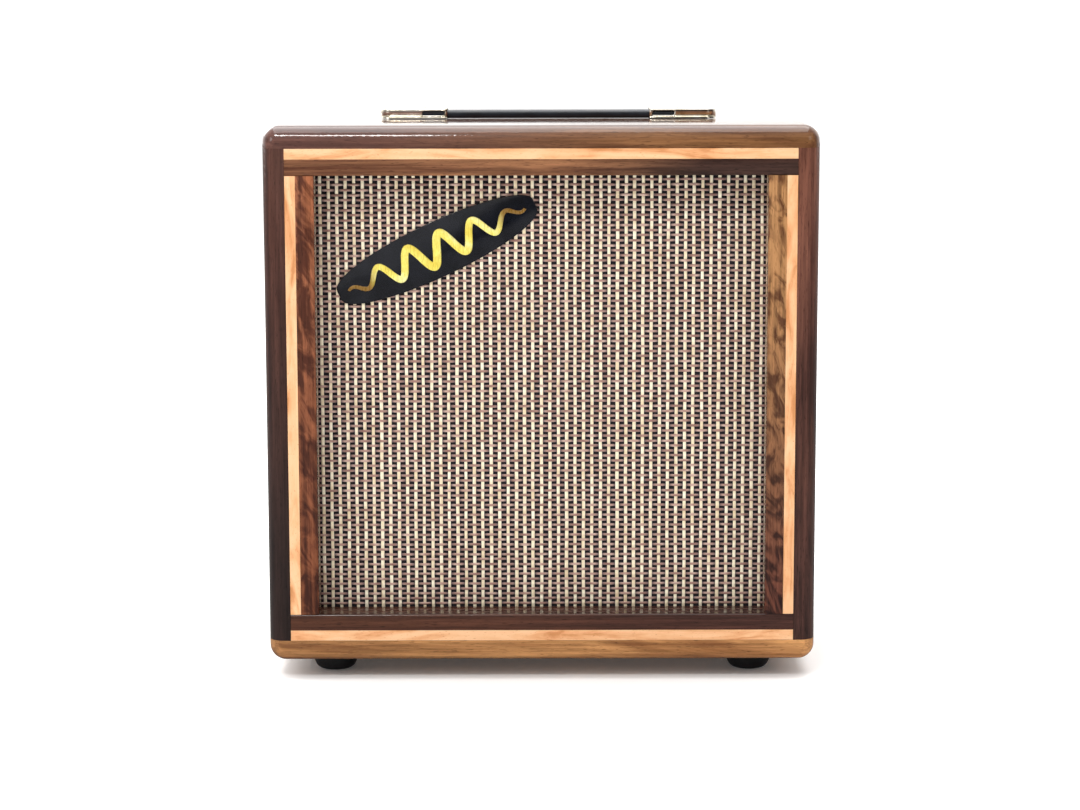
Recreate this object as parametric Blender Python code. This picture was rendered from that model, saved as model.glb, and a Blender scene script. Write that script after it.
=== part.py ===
"""A small valve guitar amplifier: a lacquered hardwood box with an inlaid front frame, woven grille cloth and a
strap handle, and inside it a rear-facing chassis with its valves and transformers, and a ten-inch loudspeaker.

Metres, +Z up, front towards -Y. The origin is on the floor under the middle of the cabinet.
"""

import math

import bmesh
import bpy

# Cabinet
WIDTH = 0.422
DEPTH = 0.230
BOARD = 0.017
FOOT_HEIGHT = 0.0142
BODY_TOP = 0.4275
ROUNDOVER = 0.0125
FIT = 0.0003

FRONT = -DEPTH / 2
REAR = DEPTH / 2
HALF = WIDTH / 2
INNER_X = HALF - BOARD
INNER_LOW = FOOT_HEIGHT + BOARD
INNER_HIGH = BODY_TOP - BOARD

# Inlaid front frame
MAPLE = 0.008
RAIL_WALNUT = 0.0125
STILE_WALNUT = 0.014
FRAME_DEPTH = 0.028
FRAME_EASE = 0.0006

# Baffle and grille
CLOTH = 0.0008
BAFFLE = 0.012
CLOTH_FRONT = FRONT + FRAME_DEPTH
BAFFLE_FRONT = CLOTH_FRONT + CLOTH + FIT
BAFFLE_REAR = BAFFLE_FRONT + BAFFLE

# Badge
BADGE_X, BADGE_Z = -0.080, 0.3315
BADGE_TILT = math.radians(25)
BADGE_LENGTH, BADGE_HEIGHT = 0.166, 0.042
BADGE_PLATE = 0.0012
EMBLEM = 0.0010
WAVE_PEAKS = 5.5
WAVE_HEIGHT = 0.0115
WAVE_STROKE = 0.0052

# Feet
FOOT_X = 0.1625
FOOT_Y = DEPTH / 2 - 0.045
FOOT_RADIUS = 0.019

# Handle
HANDLE_X = 0.006
CAP_LENGTH, CAP_WIDTH, CAP_HEIGHT = 0.0530, 0.0240, 0.0083
CAP_INNER_END = 0.0795
STRAP_WIDTH, STRAP_THICK = 0.0190, 0.0066
GRIP_HALF = 0.0455
TONGUE_END = 0.1245

# Loudspeaker, measured back from the baffle's rear face
SPEAKER_Z = 0.182
SPEAKER_Y = BAFFLE_REAR + FIT
CUTOUT_RADIUS = 0.1150
BASKET_WINDOWS = 8
BASKET_WINDOW_WIDTH = 0.030

# Chassis
CHASSIS_X = 0.170
CHASSIS_FRONT, CHASSIS_REAR = -0.035, 0.090
CHASSIS_LOW = 0.3505
SHEET = 0.0015
PANEL_X = 0.168
PANEL_FRONT = CHASSIS_REAR + FIT
PANEL_REAR = PANEL_FRONT + SHEET
PANEL_Z = 0.381
VALVE_Y = 0.030
INPUT_X, VOLUME_X, TONE_X, SPEAKER_JACK_X = 0.134, 0.090, 0.046, 0.010
LAMP_X, POWER_X, FUSE_X, INLET_X = -0.018, -0.048, -0.080, -0.128

# Rear panel board
BACK_TOP = 0.190
BACK_FRONT, BACK_REAR = 0.1025, 0.1085
CLEAT = 0.016

ALONG_Y = (-math.pi / 2, 0, 0)
FACING_FRONT = (math.pi / 2, -BADGE_TILT, 0)


def clear_scene():
    for obj in list(bpy.data.objects):
        bpy.data.objects.remove(obj, do_unlink=True)


def material(name, colour, roughness=0.4, metallic=0.0, alpha=1.0):
    made = bpy.data.materials.new(name)
    made.use_nodes = True
    shader = made.node_tree.nodes["Principled BSDF"]
    shader.inputs["Base Color"].default_value = (*colour, 1)
    shader.inputs["Roughness"].default_value = roughness
    shader.inputs["Metallic"].default_value = metallic
    shader.inputs["Alpha"].default_value = alpha
    return made


def add(name, mesh, finish=None, at=(0, 0, 0), turn=(0, 0, 0)):
    obj = bpy.data.objects.new(name, mesh)
    bpy.context.scene.collection.objects.link(obj)
    obj.location = at
    obj.rotation_euler = turn
    if finish:
        mesh.materials.append(finish)
    else:
        obj.hide_render = True
        obj.display_type = "WIRE"
    return obj


def mesh_from(name, bm):
    bmesh.ops.recalc_face_normals(bm, faces=bm.faces)
    mesh = bpy.data.meshes.new(name)
    bm.to_mesh(mesh)
    bm.free()
    return mesh


def block(name, low, high, finish=None, ease=0.0, segments=1):
    """A box between two corners, with its edges eased by a bevel if asked."""
    bm = bmesh.new()
    bmesh.ops.create_cube(bm, size=1)
    size = [b - a for a, b in zip(low, high)]
    bmesh.ops.scale(bm, vec=size, verts=bm.verts)
    middle = [(a + b) / 2 for a, b in zip(low, high)]
    obj = add(name, mesh_from(name, bm), finish, middle)
    if ease:
        bevel = obj.modifiers.new("ease", "BEVEL")
        bevel.width = ease
        bevel.segments = segments
    return obj


def turned(name, profile, finish=None, at=(0, 0, 0), turn=(0, 0, 0), steps=32, ring=False):
    """A profile of (radius, height) points spun about its local Z. A ring's profile closes on itself."""
    bm = bmesh.new()
    points = [bm.verts.new((radius, 0, height)) for radius, height in profile]
    ends = points[1:] + points[:1] if ring else points[1:]
    edges = [bm.edges.new(pair) for pair in zip(points, ends)]
    bmesh.ops.spin(bm, geom=points + edges, axis=(0, 0, 1), cent=(0, 0, 0), angle=2 * math.pi, steps=steps)
    bmesh.ops.remove_doubles(bm, verts=bm.verts, dist=1e-6)
    mesh = mesh_from(name, bm)
    mesh.shade_smooth()
    mesh.set_sharp_from_angle(angle=math.radians(35))
    return add(name, mesh, finish, at, turn)


def rod(name, radius, low, high, at, turn=(0, 0, 0), steps=24):
    """A helper cylinder between two heights on its local Z."""
    return turned(name, [(0, low), (radius, low), (radius, high), (0, high)], None, at, turn, steps)


def strip_solid(name, upper, lower, thick, finish, at, turn):
    """A flat bar between an upper and a lower line of points, drawn in local XY and extruded along local Z."""
    bm = bmesh.new()
    pairs = [[bm.verts.new((*point, 0)) for point in pair] for pair in zip(upper, lower)]
    for (a, b), (c, d) in zip(pairs, pairs[1:]):
        bm.faces.new((a, b, d, c))
    grown = bmesh.ops.extrude_face_region(bm, geom=bm.faces[:])["geom"]
    raised = [item for item in grown if isinstance(item, bmesh.types.BMVert)]
    bmesh.ops.translate(bm, vec=(0, 0, thick), verts=raised)
    return add(name, mesh_from(name, bm), finish, at, turn)


def combine(obj, other, operation):
    step = obj.modifiers.new(other.name, "BOOLEAN")
    step.operation = operation
    step.object = other
    step.solver = "EXACT"


def cut(obj, *cutters):
    for cutter in cutters:
        combine(obj, cutter, "DIFFERENCE")


def join(obj, *others):
    for other in others:
        combine(obj, other, "UNION")


# ---------------------------------------------------------------- cabinet


def cabinet(walnut):
    """Four boards cut from one rounded box: the top and bottom run the full width, the sides stand between them."""
    places = {
        "cabinet_top_board": ((-HALF, INNER_HIGH), (HALF, BODY_TOP)),
        "cabinet_bottom_board": ((-HALF, FOOT_HEIGHT), (HALF, INNER_LOW)),
        "cabinet_left_side": ((-HALF, INNER_LOW + FIT), (-INNER_X, INNER_HIGH - FIT)),
        "cabinet_right_side": ((INNER_X, INNER_LOW + FIT), (HALF, INNER_HIGH - FIT)),
    }
    spare = 0.010
    for name, (low, high) in places.items():
        board = block(name, (-HALF, FRONT, FOOT_HEIGHT), (HALF, REAR, BODY_TOP), walnut, ROUNDOVER, 4)
        edges = [
            low[0] - spare * (low[0] == -HALF),
            low[1] - spare * (low[1] == FOOT_HEIGHT),
            high[0] + spare * (high[0] == HALF),
            high[1] + spare * (high[1] == BODY_TOP),
        ]
        keep = block(
            name + "_stock", (edges[0], FRONT - spare, edges[1]), (edges[2], REAR + spare, edges[3])
        )
        combine(board, keep, "INTERSECT")


def front_frame(walnut, maple):
    """Rails run the full inner width; the stiles stand between them. Maple lies outside walnut on all four."""
    rail_x = INNER_X - FIT
    rear = CLOTH_FRONT - FIT
    rail = MAPLE + RAIL_WALNUT
    for side, edge, inward in (("top", INNER_HIGH, -1), ("bottom", INNER_LOW, 1)):
        lines = [edge + inward * gap for gap in (FIT, MAPLE, MAPLE + FIT, rail)]
        for wood, finish, (a, b) in (("maple", maple, lines[:2]), ("walnut", walnut, lines[2:])):
            low, high = min(a, b), max(a, b)
            block(
                f"frame_{side}_{wood}", (-rail_x, FRONT, low), (rail_x, rear, high), finish, FRAME_EASE
            )
    low, high = INNER_LOW + rail + FIT, INNER_HIGH - rail - FIT
    for side, way in (("left", -1), ("right", 1)):
        lines = [way * (INNER_X - gap) for gap in (FIT, MAPLE, MAPLE + FIT, MAPLE + STILE_WALNUT)]
        for wood, finish, (a, b) in (("maple", maple, lines[:2]), ("walnut", walnut, lines[2:])):
            block(
                f"frame_{side}_{wood}", (min(a, b), FRONT, low), (max(a, b), rear, high), finish, FRAME_EASE
            )


def baffle(ply, fabric):
    x, low, high = INNER_X - FIT, INNER_LOW + FIT, INNER_HIGH - FIT
    board = block("baffle_board", (-x, BAFFLE_FRONT, low), (x, BAFFLE_REAR, high), ply)
    hole = rod("baffle_hole", CUTOUT_RADIUS, -BAFFLE, 2 * BAFFLE, (0, BAFFLE_FRONT, SPEAKER_Z), ALONG_Y, 48)
    cut(board, hole)
    block("grille_cloth", (-x, CLOTH_FRONT, low), (x, CLOTH_FRONT + CLOTH, high), fabric)


def badge(black, gold):
    """A slanted lens-shaped plate with a raised wave packet."""
    count = 24
    spots = [i / count * 2 - 1 for i in range(count + 1)]
    edge = [BADGE_HEIGHT / 2 * (0.18 + 0.82 * math.sqrt(max(0.0, 1 - s * s))) for s in spots]
    x = [s * BADGE_LENGTH / 2 for s in spots]
    place = (BADGE_X, CLOTH_FRONT - FIT, BADGE_Z)
    strip_solid(
        "badge_plate", list(zip(x, edge)), [(a, -b) for a, b in zip(x, edge)], BADGE_PLATE, black, place,
        FACING_FRONT,
    )
    count = 54
    reach = BADGE_LENGTH / 2 - 0.008
    upper, lower = [], []
    for i in range(count + 1):
        s = i / count * 2 - 1
        swing = WAVE_HEIGHT * math.cos(s * math.pi / 2) ** 0.8 * math.sin(s * WAVE_PEAKS * math.pi)
        stroke = WAVE_STROKE / 2 * (0.30 + 0.70 * math.cos(s * math.pi / 2))
        upper.append((s * reach, swing + stroke))
        lower.append((s * reach, swing - stroke))
    front = (BADGE_X, CLOTH_FRONT - BADGE_PLATE - 2 * FIT, BADGE_Z)
    strip_solid("badge_emblem", upper, lower, EMBLEM, gold, front, FACING_FRONT)


def feet(rubber):
    top = FOOT_HEIGHT - FIT
    profile = [
        (0, 0), (0.0105, 0), (0.0135, 0.0015), (0.0165, 0.0070), (FOOT_RADIUS, 0.0130), (FOOT_RADIUS, top),
        (0, top),
    ]
    for end, y in (("front", -FOOT_Y), ("rear", FOOT_Y)):
        for side, x in (("left", -FOOT_X), ("right", FOOT_X)):
            turned(f"foot_{end}_{side}", profile, rubber, (x, y, 0), steps=24)


def handle(metal, rubber):
    """The strap's two tongues lie in the end caps and its grip lies between them."""
    base = BODY_TOP + FIT
    half = STRAP_WIDTH / 2
    top = base + STRAP_THICK
    for side, way in (("left", -1), ("right", 1)):
        ends = sorted((HANDLE_X + way * CAP_INNER_END, HANDLE_X + way * (CAP_INNER_END + CAP_LENGTH)))
        cap = block(
            f"handle_cap_{side}", (ends[0], -CAP_WIDTH / 2, base), (ends[1], CAP_WIDTH / 2, base + CAP_HEIGHT),
            metal, 0.0025, 2,
        )
        inner = HANDLE_X + way * (CAP_INNER_END - 0.004)
        deep = HANDLE_X + way * (TONGUE_END + 0.001)
        channel = block(
            f"channel_{side}", (min(inner, deep), -half - 0.0006, base - 0.002),
            (max(inner, deep), half + 0.0006, top + 0.0005),
        )
        cut(cap, channel)
        spread = sorted((HANDLE_X + way * (GRIP_HALF + FIT), HANDLE_X + way * TONGUE_END))
        block(f"handle_tongue_{side}", (spread[0], -half, base), (spread[1], half, top), rubber, 0.0012, 2)
    block(
        "handle_grip", (HANDLE_X - GRIP_HALF, -half, base), (HANDLE_X + GRIP_HALF, half, top), rubber, 0.0012, 2
    )


# ---------------------------------------------------------------- loudspeaker


def speaker(steel, iron, paper, dark, copper):
    """A ten-inch driver behind the baffle. Heights run back from its flange."""
    at = (0, SPEAKER_Y, SPEAKER_Z)
    basket = turned(
        "speaker_basket",
        [
            (0.1155, 0), (0.1290, 0), (0.1290, 0.0025), (0.1180, 0.0025), (0.1148, 0.0120), (0.0560, 0.0620),
            (0.0220, 0.0620), (0.0220, 0.0600), (0.0552, 0.0600), (0.1130, 0.0106),
        ],
        steel, at, ALONG_Y, 32, True,
    )
    for i in range(BASKET_WINDOWS):
        angle = 2 * math.pi * (i + 0.5) / BASKET_WINDOWS
        window = block(
            f"basket_window_{i}", (-BASKET_WINDOW_WIDTH / 2, 0.064, 0.020), (BASKET_WINDOW_WIDTH / 2, 0.150, 0.0535)
        )
        bake_place(window)
        window.location = at
        window.rotation_euler = (-math.pi / 2, angle, 0)
        cut(basket, window)
    turned(
        "speaker_magnet",
        [
            (0, 0.0623), (0.0178, 0.0623), (0.0178, 0.0840), (0.0207, 0.0840), (0.0207, 0.0623),
            (0.0500, 0.0623), (0.0500, 0.0680), (0.0620, 0.0680), (0.0620, 0.0870), (0.0560, 0.0870),
            (0.0560, 0.0930), (0, 0.0930),
        ],
        iron, at, ALONG_Y,
    )
    turned(
        "speaker_surround",
        [
            (0.0992, 0.0030), (0.1035, 0.0008), (0.1080, 0.0008), (0.1122, 0.0030), (0.1122, 0.0042),
            (0.1076, 0.0020), (0.1039, 0.0020), (0.0992, 0.0042),
        ],
        dark, at, ALONG_Y, 32, True,
    )
    turned(
        "speaker_cone",
        [
            (0.0988, 0.0030), (0.0988, 0.0042), (0.0620, 0.0260), (0.0360, 0.0430), (0.0198, 0.0520),
            (0.0198, 0.0508), (0.0355, 0.0420), (0.0615, 0.0250),
        ],
        paper, at, ALONG_Y, 32, True,
    )
    turned(
        "speaker_dust_cap",
        [
            (0, 0.0330), (0.0120, 0.0352), (0.0210, 0.0410), (0.0262, 0.0462), (0.0250, 0.0466),
            (0.0200, 0.0422), (0.0115, 0.0364), (0, 0.0342),
        ],
        dark, at, ALONG_Y, 24,
    )
    turned(
        "speaker_voice_coil",
        [(0.0185, 0.0500), (0.0195, 0.0500), (0.0195, 0.0720), (0.0185, 0.0720)],
        copper, at, ALONG_Y, 24, True,
    )
    turned(
        "speaker_spider",
        [
            (0.0200, 0.0555), (0.0280, 0.0540), (0.0360, 0.0555), (0.0440, 0.0540), (0.0520, 0.0555),
            (0.0520, 0.0567), (0.0440, 0.0552), (0.0360, 0.0567), (0.0280, 0.0552), (0.0200, 0.0567),
        ],
        copper, at, ALONG_Y, 24, True,
    )


def bake_place(obj):
    """Bakes a helper's place into its mesh, so that it turns about the speaker's axis."""
    obj.data.transform(obj.matrix_basis)
    obj.location = (0, 0, 0)


# ---------------------------------------------------------------- chassis and what it carries


def panel_part(name, profile, finish, x, steps=20, ring=False):
    """A turned piece on the control panel. Heights run out from the chassis' rear face."""
    return turned(name, profile, finish, (x, CHASSIS_REAR, PANEL_Z), ALONG_Y, steps, ring)


PANEL_HOLES = (
    (INPUT_X, 0.0050), (SPEAKER_JACK_X, 0.0050), (VOLUME_X, 0.0050), (TONE_X, 0.0050), (LAMP_X, 0.0070),
    (POWER_X, 0.0064), (FUSE_X, 0.0072),
)
VALVES = {
    "preamp": (0.124, 0.0115, 0.0110, 0.054, 0.0030),
    "power": (0.080, 0.0150, 0.0165, 0.080, 0.0140),
    "rectifier": (-0.045, 0.0150, 0.0170, 0.082, 0.0140),
}
INLET_BODY = (0.0270, 0.0200)
INLET_FLANGE = (0.0500, 0.0250)
INLET_RECESS = (0.0240, 0.0160)


def inlet_box(name, size, low, high, finish=None, ease=0.0):
    half_x, half_z = size[0] / 2, size[1] / 2
    return block(
        name, (INLET_X - half_x, low, PANEL_Z - half_z), (INLET_X + half_x, high, PANEL_Z + half_z),
        finish, ease,
    )


def chassis(steel, plate):
    """An open-topped folded tray under the top board, and the plate that faces the rear."""
    top = INNER_HIGH - FIT
    tray = block("chassis_tray", (-CHASSIS_X, CHASSIS_FRONT, CHASSIS_LOW), (CHASSIS_X, CHASSIS_REAR, top), steel)
    cut(
        tray,
        block(
            "tray_hollow", (-CHASSIS_X + SHEET, CHASSIS_FRONT + SHEET, CHASSIS_LOW + SHEET),
            (CHASSIS_X - SHEET, CHASSIS_REAR - SHEET, top + 0.01),
        ),
    )
    panel = block(
        "control_panel", (-PANEL_X, PANEL_FRONT, CHASSIS_LOW + SHEET), (PANEL_X, PANEL_REAR, top - SHEET), plate,
        0.0003,
    )
    for i, (x, radius) in enumerate(PANEL_HOLES):
        hole = rod(f"panel_hole_{i}", radius, -0.010, 0.010, (x, CHASSIS_REAR, PANEL_Z), ALONG_Y, 20)
        cut(tray, hole)
        cut(panel, hole)
    size = (INLET_BODY[0] + 0.001, INLET_BODY[1] + 0.001)
    window = inlet_box("inlet_window", size, CHASSIS_REAR - 0.01, CHASSIS_REAR + 0.01)
    cut(tray, window)
    cut(panel, window)
    for name, (x, socket, _, _, _) in VALVES.items():
        cut(tray, rod(f"{name}_hole", socket + 0.0004, -0.01, 0.01, (x, VALVE_Y, CHASSIS_LOW)))


def valves(phenolic, glass):
    """Three valves hang from sockets in the tray's floor. Heights run up from the tray's underside."""
    for name, (x, socket, radius, length, base) in VALVES.items():
        at = (x, VALVE_Y, CHASSIS_LOW)
        flange = -0.0020
        turned(
            f"{name}_socket",
            [
                (0, 0.0065), (socket, 0.0065), (socket, -FIT), (socket + 0.0045, -FIT),
                (socket + 0.0045, flange), (0, flange),
            ][::-1],
            phenolic, at, steps=20,
        )
        top = flange - FIT
        low = top - length
        turned(
            f"{name}_valve",
            [
                (0, low), (0.30 * radius, low + 0.0008), (0.72 * radius, low + 0.0045), (radius, low + 0.0120),
                (radius, top - base - 0.006), (0.88 * radius, top - base), (0.88 * radius, top), (0, top),
            ],
            glass, at, steps=20,
        )


def transformer(name, x, y, size, bell, core):
    """A laminated core between two pressed covers, hung from the tray's floor."""
    wide, deep, high = size
    top = CHASSIS_LOW - FIT
    body = block(
        name, (x - wide / 2, y - deep * 0.22, top - high), (x + wide / 2, y + deep * 0.22, top), core, 0.0008
    )
    cover = block(
        f"{name}_covers", (x - wide / 2 + 0.005, y - deep / 2, top - high + 0.005),
        (x + wide / 2 - 0.005, y + deep / 2, top - 0.0008), None, bell, 2,
    )
    join(body, cover)


def circuit(board, sleeve):
    """The tag board stands on four posts in the tray, with the smoothing capacitor along it."""
    floor = CHASSIS_LOW + SHEET + FIT
    low, high = (-0.025, -0.031), (0.105, 0.012)
    plate = block("circuit_board", (*low, floor + 0.010), (*high, floor + 0.0124), board)
    for i, x in enumerate((low[0] + 0.006, high[0] - 0.006)):
        for j, y in enumerate((low[1] + 0.006, high[1] - 0.006)):
            join(plate, rod(f"board_post_{i}{j}", 0.003, 0, 0.011, (x, y, floor), steps=12))
    radius = 0.0095
    turned(
        "filter_capacitor",
        [
            (0, 0), (radius - 0.001, 0), (radius, 0.001), (radius, 0.034), (radius - 0.0012, 0.0352),
            (radius, 0.0364), (radius, 0.044), (radius - 0.001, 0.045), (0, 0.045),
        ],
        sleeve, (0.010, -0.010, floor + 0.0124 + FIT + radius), (0, math.pi / 2, 0), 20,
    )


def controls(dark, chrome, cream, red):
    """Potentiometers with pointer knobs, a toggle switch and a pilot lamp."""
    for name, x in (("volume", VOLUME_X), ("tone", TONE_X)):
        panel_part(
            f"{name}_pot",
            [
                (0.0034, -0.0120), (0.0120, -0.0120), (0.0120, -SHEET - FIT), (0.0047, -SHEET - FIT),
                (0.0047, 0.0022), (0.0068, 0.0022), (0.0068, 0.0042), (0.0047, 0.0042), (0.0047, 0.0058),
                (0.0034, 0.0058),
            ],
            chrome, x, ring=True,
        )
        knob(name, x, cream)
    panel_part(
        "pilot_lamp",
        [
            (0, -0.0180), (0.0066, -0.0180), (0.0066, 0.0022), (0.0095, 0.0022), (0.0095, 0.0040),
            (0.0078, 0.0052), (0.0062, 0.0090), (0.0030, 0.0120), (0, 0.0128),
        ],
        red, LAMP_X, 16,
    )
    body = block(
        "power_switch_body", (POWER_X - 0.0065, CHASSIS_REAR - 0.022, PANEL_Z - 0.010),
        (POWER_X + 0.0065, CHASSIS_REAR - SHEET - FIT, PANEL_Z + 0.010), dark, 0.0005,
    )
    at = (POWER_X, CHASSIS_REAR, PANEL_Z)
    join(body, rod("switch_bush", 0.0058, -0.005, 0.0085, at, ALONG_Y, 20))
    cut(body, rod("switch_bore", 0.0042, -0.0010, 0.0200, at, ALONG_Y, 20))
    turned(
        "power_switch_lever",
        [(0, -0.0030), (0.0016, -0.0020), (0.0016, 0.0030), (0.0026, 0.0170), (0.0018, 0.0188), (0, 0.0192)],
        chrome, (POWER_X, CHASSIS_REAR + 0.0040, PANEL_Z), (math.radians(-102), 0, 0), 16,
    )


def knob(name, x, finish):
    """A pointer knob on its shaft. It rests at its lowest mark, 150 degrees anticlockwise of straight up."""
    at = (x, CHASSIS_REAR, PANEL_Z)
    turn = (-math.pi / 2, math.radians(-30), 0)
    body = turned(
        f"{name}_knob",
        [(0, -0.0100), (0.0030, -0.0100), (0.0030, 0.0064), (0.0100, 0.0064), (0.0092, 0.0110), (0, 0.0110)],
        finish, at, turn, 24,
    )
    outline = [(-0.0130, 0.0036), (-0.0060, 0.0058), (0.0020, 0.0052), (0.0165, 0.0012)]
    pointer = strip_solid(
        f"{name}_pointer", [(a, b) for a, b in outline], [(a, -b) for a, b in outline], 0.0130, None,
        (0, 0, 0), (0, 0, math.pi / 2),
    )
    pointer.parent = body
    pointer.location = (0, 0, 0.0080)
    join(body, pointer)


def connectors(dark, chrome):
    """Jack sockets, the mains inlet and the fuse holder with its twist-off cap."""
    jack = [
        (0.0032, -0.0220), (0.0078, -0.0220), (0.0078, -SHEET - FIT), (0.0046, -SHEET - FIT), (0.0046, 0.0022),
        (0.0075, 0.0022), (0.0075, 0.0050), (0.0046, 0.0050), (0.0046, 0.0062), (0.0032, 0.0062),
    ]
    for name, x in (("input_jack", INPUT_X), ("speaker_jack", SPEAKER_JACK_X)):
        panel_part(name, jack, chrome, x, ring=True)
    panel_part(
        "fuse_holder",
        [
            (0, -0.0360), (0.0066, -0.0360), (0.0066, 0.0022), (0.0092, 0.0022), (0.0092, 0.0060),
            (0.0056, 0.0060), (0.0056, -0.0040), (0, -0.0040),
        ],
        dark, FUSE_X,
    )
    cap = panel_part(
        "fuse_cap",
        [(0, -0.0030), (0.0050, -0.0030), (0.0050, 0.0064), (0.0078, 0.0064), (0.0070, 0.0150), (0, 0.0150)],
        dark, FUSE_X,
    )
    slot = block(
        "fuse_slot", (FUSE_X - 0.0100, CHASSIS_REAR + 0.0130, PANEL_Z - 0.0008),
        (FUSE_X + 0.0100, CHASSIS_REAR + 0.0170, PANEL_Z + 0.0008),
    )
    cut(cap, slot)
    inlet = inlet_box("mains_inlet", INLET_BODY, CHASSIS_REAR - 0.020, CHASSIS_REAR + 0.004, dark)
    flange = inlet_box("inlet_flange", INLET_FLANGE, PANEL_REAR + FIT, PANEL_REAR + 0.0030)
    recess = inlet_box("inlet_recess", INLET_RECESS, CHASSIS_REAR - 0.014, CHASSIS_REAR + 0.020)
    join(inlet, flange)
    cut(inlet, recess)


def speaker_lead(sleeve):
    """The two-core lead that the chassis feeds the speaker with, from a hole in the tray to the basket."""
    route = [
        (0.0520, -0.0120, CHASSIS_LOW - FIT), (0.0522, -0.0115, 0.3380), (0.0545, -0.0070, 0.3220),
        (0.0590, 0.0010, 0.3030), (0.0605, 0.0045, 0.2860), (0.0575, -0.0010, 0.2700), (0.0520, -0.0115, 0.2600),
        (0.0480, -0.0205, 0.2545),
    ]
    curve = bpy.data.curves.new("speaker_lead", "CURVE")
    curve.dimensions = "3D"
    curve.bevel_depth = 0.0022
    curve.bevel_resolution = 2
    curve.use_fill_caps = True
    line = curve.splines.new("POLY")
    points = smooth(route, 3)
    line.points.add(len(points) - 1)
    for spot, point in zip(line.points, points):
        spot.co = (*point, 1)
    curve.materials.append(sleeve)
    obj = bpy.data.objects.new("speaker_lead", curve)
    bpy.context.scene.collection.objects.link(obj)


def smooth(route, between):
    """Points on the Catmull-Rom curve through a route."""
    padded = [route[0], *route, route[-1]]
    found = []
    for p, q, r, s in zip(padded, padded[1:], padded[2:], padded[3:]):
        for i in range(between):
            t = i / between
            found.append(
                tuple(
                    0.5 * (2 * b + (c - a) * t + (2 * a - 5 * b + 4 * c - d) * t**2 + (3 * b - a - 3 * c + d) * t**3)
                    for a, b, c, d in zip(p, q, r, s)
                )
            )
    return [*found, route[-1]]


def rear_panel(walnut):
    """A removable board over the lower half of the open back, on a cleat at each side."""
    x, low = INNER_X - FIT, INNER_LOW + FIT
    block("back_panel", (-x, BACK_FRONT, low), (x, BACK_REAR, BACK_TOP), walnut, 0.0008)
    for side, way in (("left", -1), ("right", 1)):
        ends = sorted((way * x, way * (x - CLEAT)))
        block(
            f"back_cleat_{side}", (ends[0], BACK_FRONT - FIT - CLEAT, low), (ends[1], BACK_FRONT - FIT, BACK_TOP),
            walnut,
        )


def main():
    clear_scene()
    walnut = material("walnut", (0.130, 0.050, 0.026), 0.18)
    maple = material("maple", (0.780, 0.480, 0.260), 0.20)
    ply = material("birch_ply", (0.520, 0.380, 0.220), 0.60)
    fabric = material("grille_fabric", (0.300, 0.210, 0.140), 0.80)
    black = material("black_enamel", (0.010, 0.010, 0.012), 0.15)
    gold = material("gold", (0.850, 0.600, 0.200), 0.22, 1.0)
    rubber = material("black_rubber", (0.012, 0.012, 0.014), 0.60)
    nickel = material("warm_nickel", (0.780, 0.700, 0.580), 0.12, 1.0)
    steel = material("zinc_steel", (0.480, 0.480, 0.470), 0.35, 1.0)
    iron = material("black_iron", (0.030, 0.030, 0.032), 0.40, 0.6)
    paper = material("cone_paper", (0.040, 0.038, 0.036), 0.85)
    cotton = material("doped_cotton", (0.060, 0.045, 0.035), 0.80)
    copper = material("copper", (0.600, 0.280, 0.140), 0.35, 1.0)
    plate = material("panel_plate", (0.600, 0.580, 0.540), 0.30, 1.0)
    phenolic = material("phenolic", (0.020, 0.018, 0.016), 0.35)
    glass = material("valve_glass", (0.550, 0.560, 0.550), 0.05, 0.0, 0.4)
    board = material("tag_board", (0.300, 0.200, 0.090), 0.60)
    sleeve = material("sleeve", (0.020, 0.040, 0.110), 0.40)
    cream = material("cream_knob", (0.720, 0.620, 0.430), 0.30)
    ruby = material("ruby_lens", (0.450, 0.010, 0.010), 0.08)
    cabinet(walnut)
    front_frame(walnut, maple)
    baffle(ply, fabric)
    badge(black, gold)
    feet(rubber)
    handle(nickel, rubber)
    speaker(steel, iron, paper, cotton, copper)
    chassis(steel, plate)
    valves(phenolic, glass)
    transformer("power_transformer", -0.122, 0.026, (0.078, 0.072, 0.064), 0.007, iron)
    transformer("output_transformer", 0.016, 0.034, (0.056, 0.050, 0.046), 0.005, iron)
    circuit(board, sleeve)
    controls(phenolic, nickel, cream, ruby)
    connectors(phenolic, nickel)
    speaker_lead(rubber)
    rear_panel(walnut)


main()
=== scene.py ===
"""The looks of a small valve guitar amplifier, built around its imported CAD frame.

Metres, +Z up, front towards -Y.
"""

import math

import bmesh
import bpy
import numpy as np
from mathutils import Euler, Matrix, Vector


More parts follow.
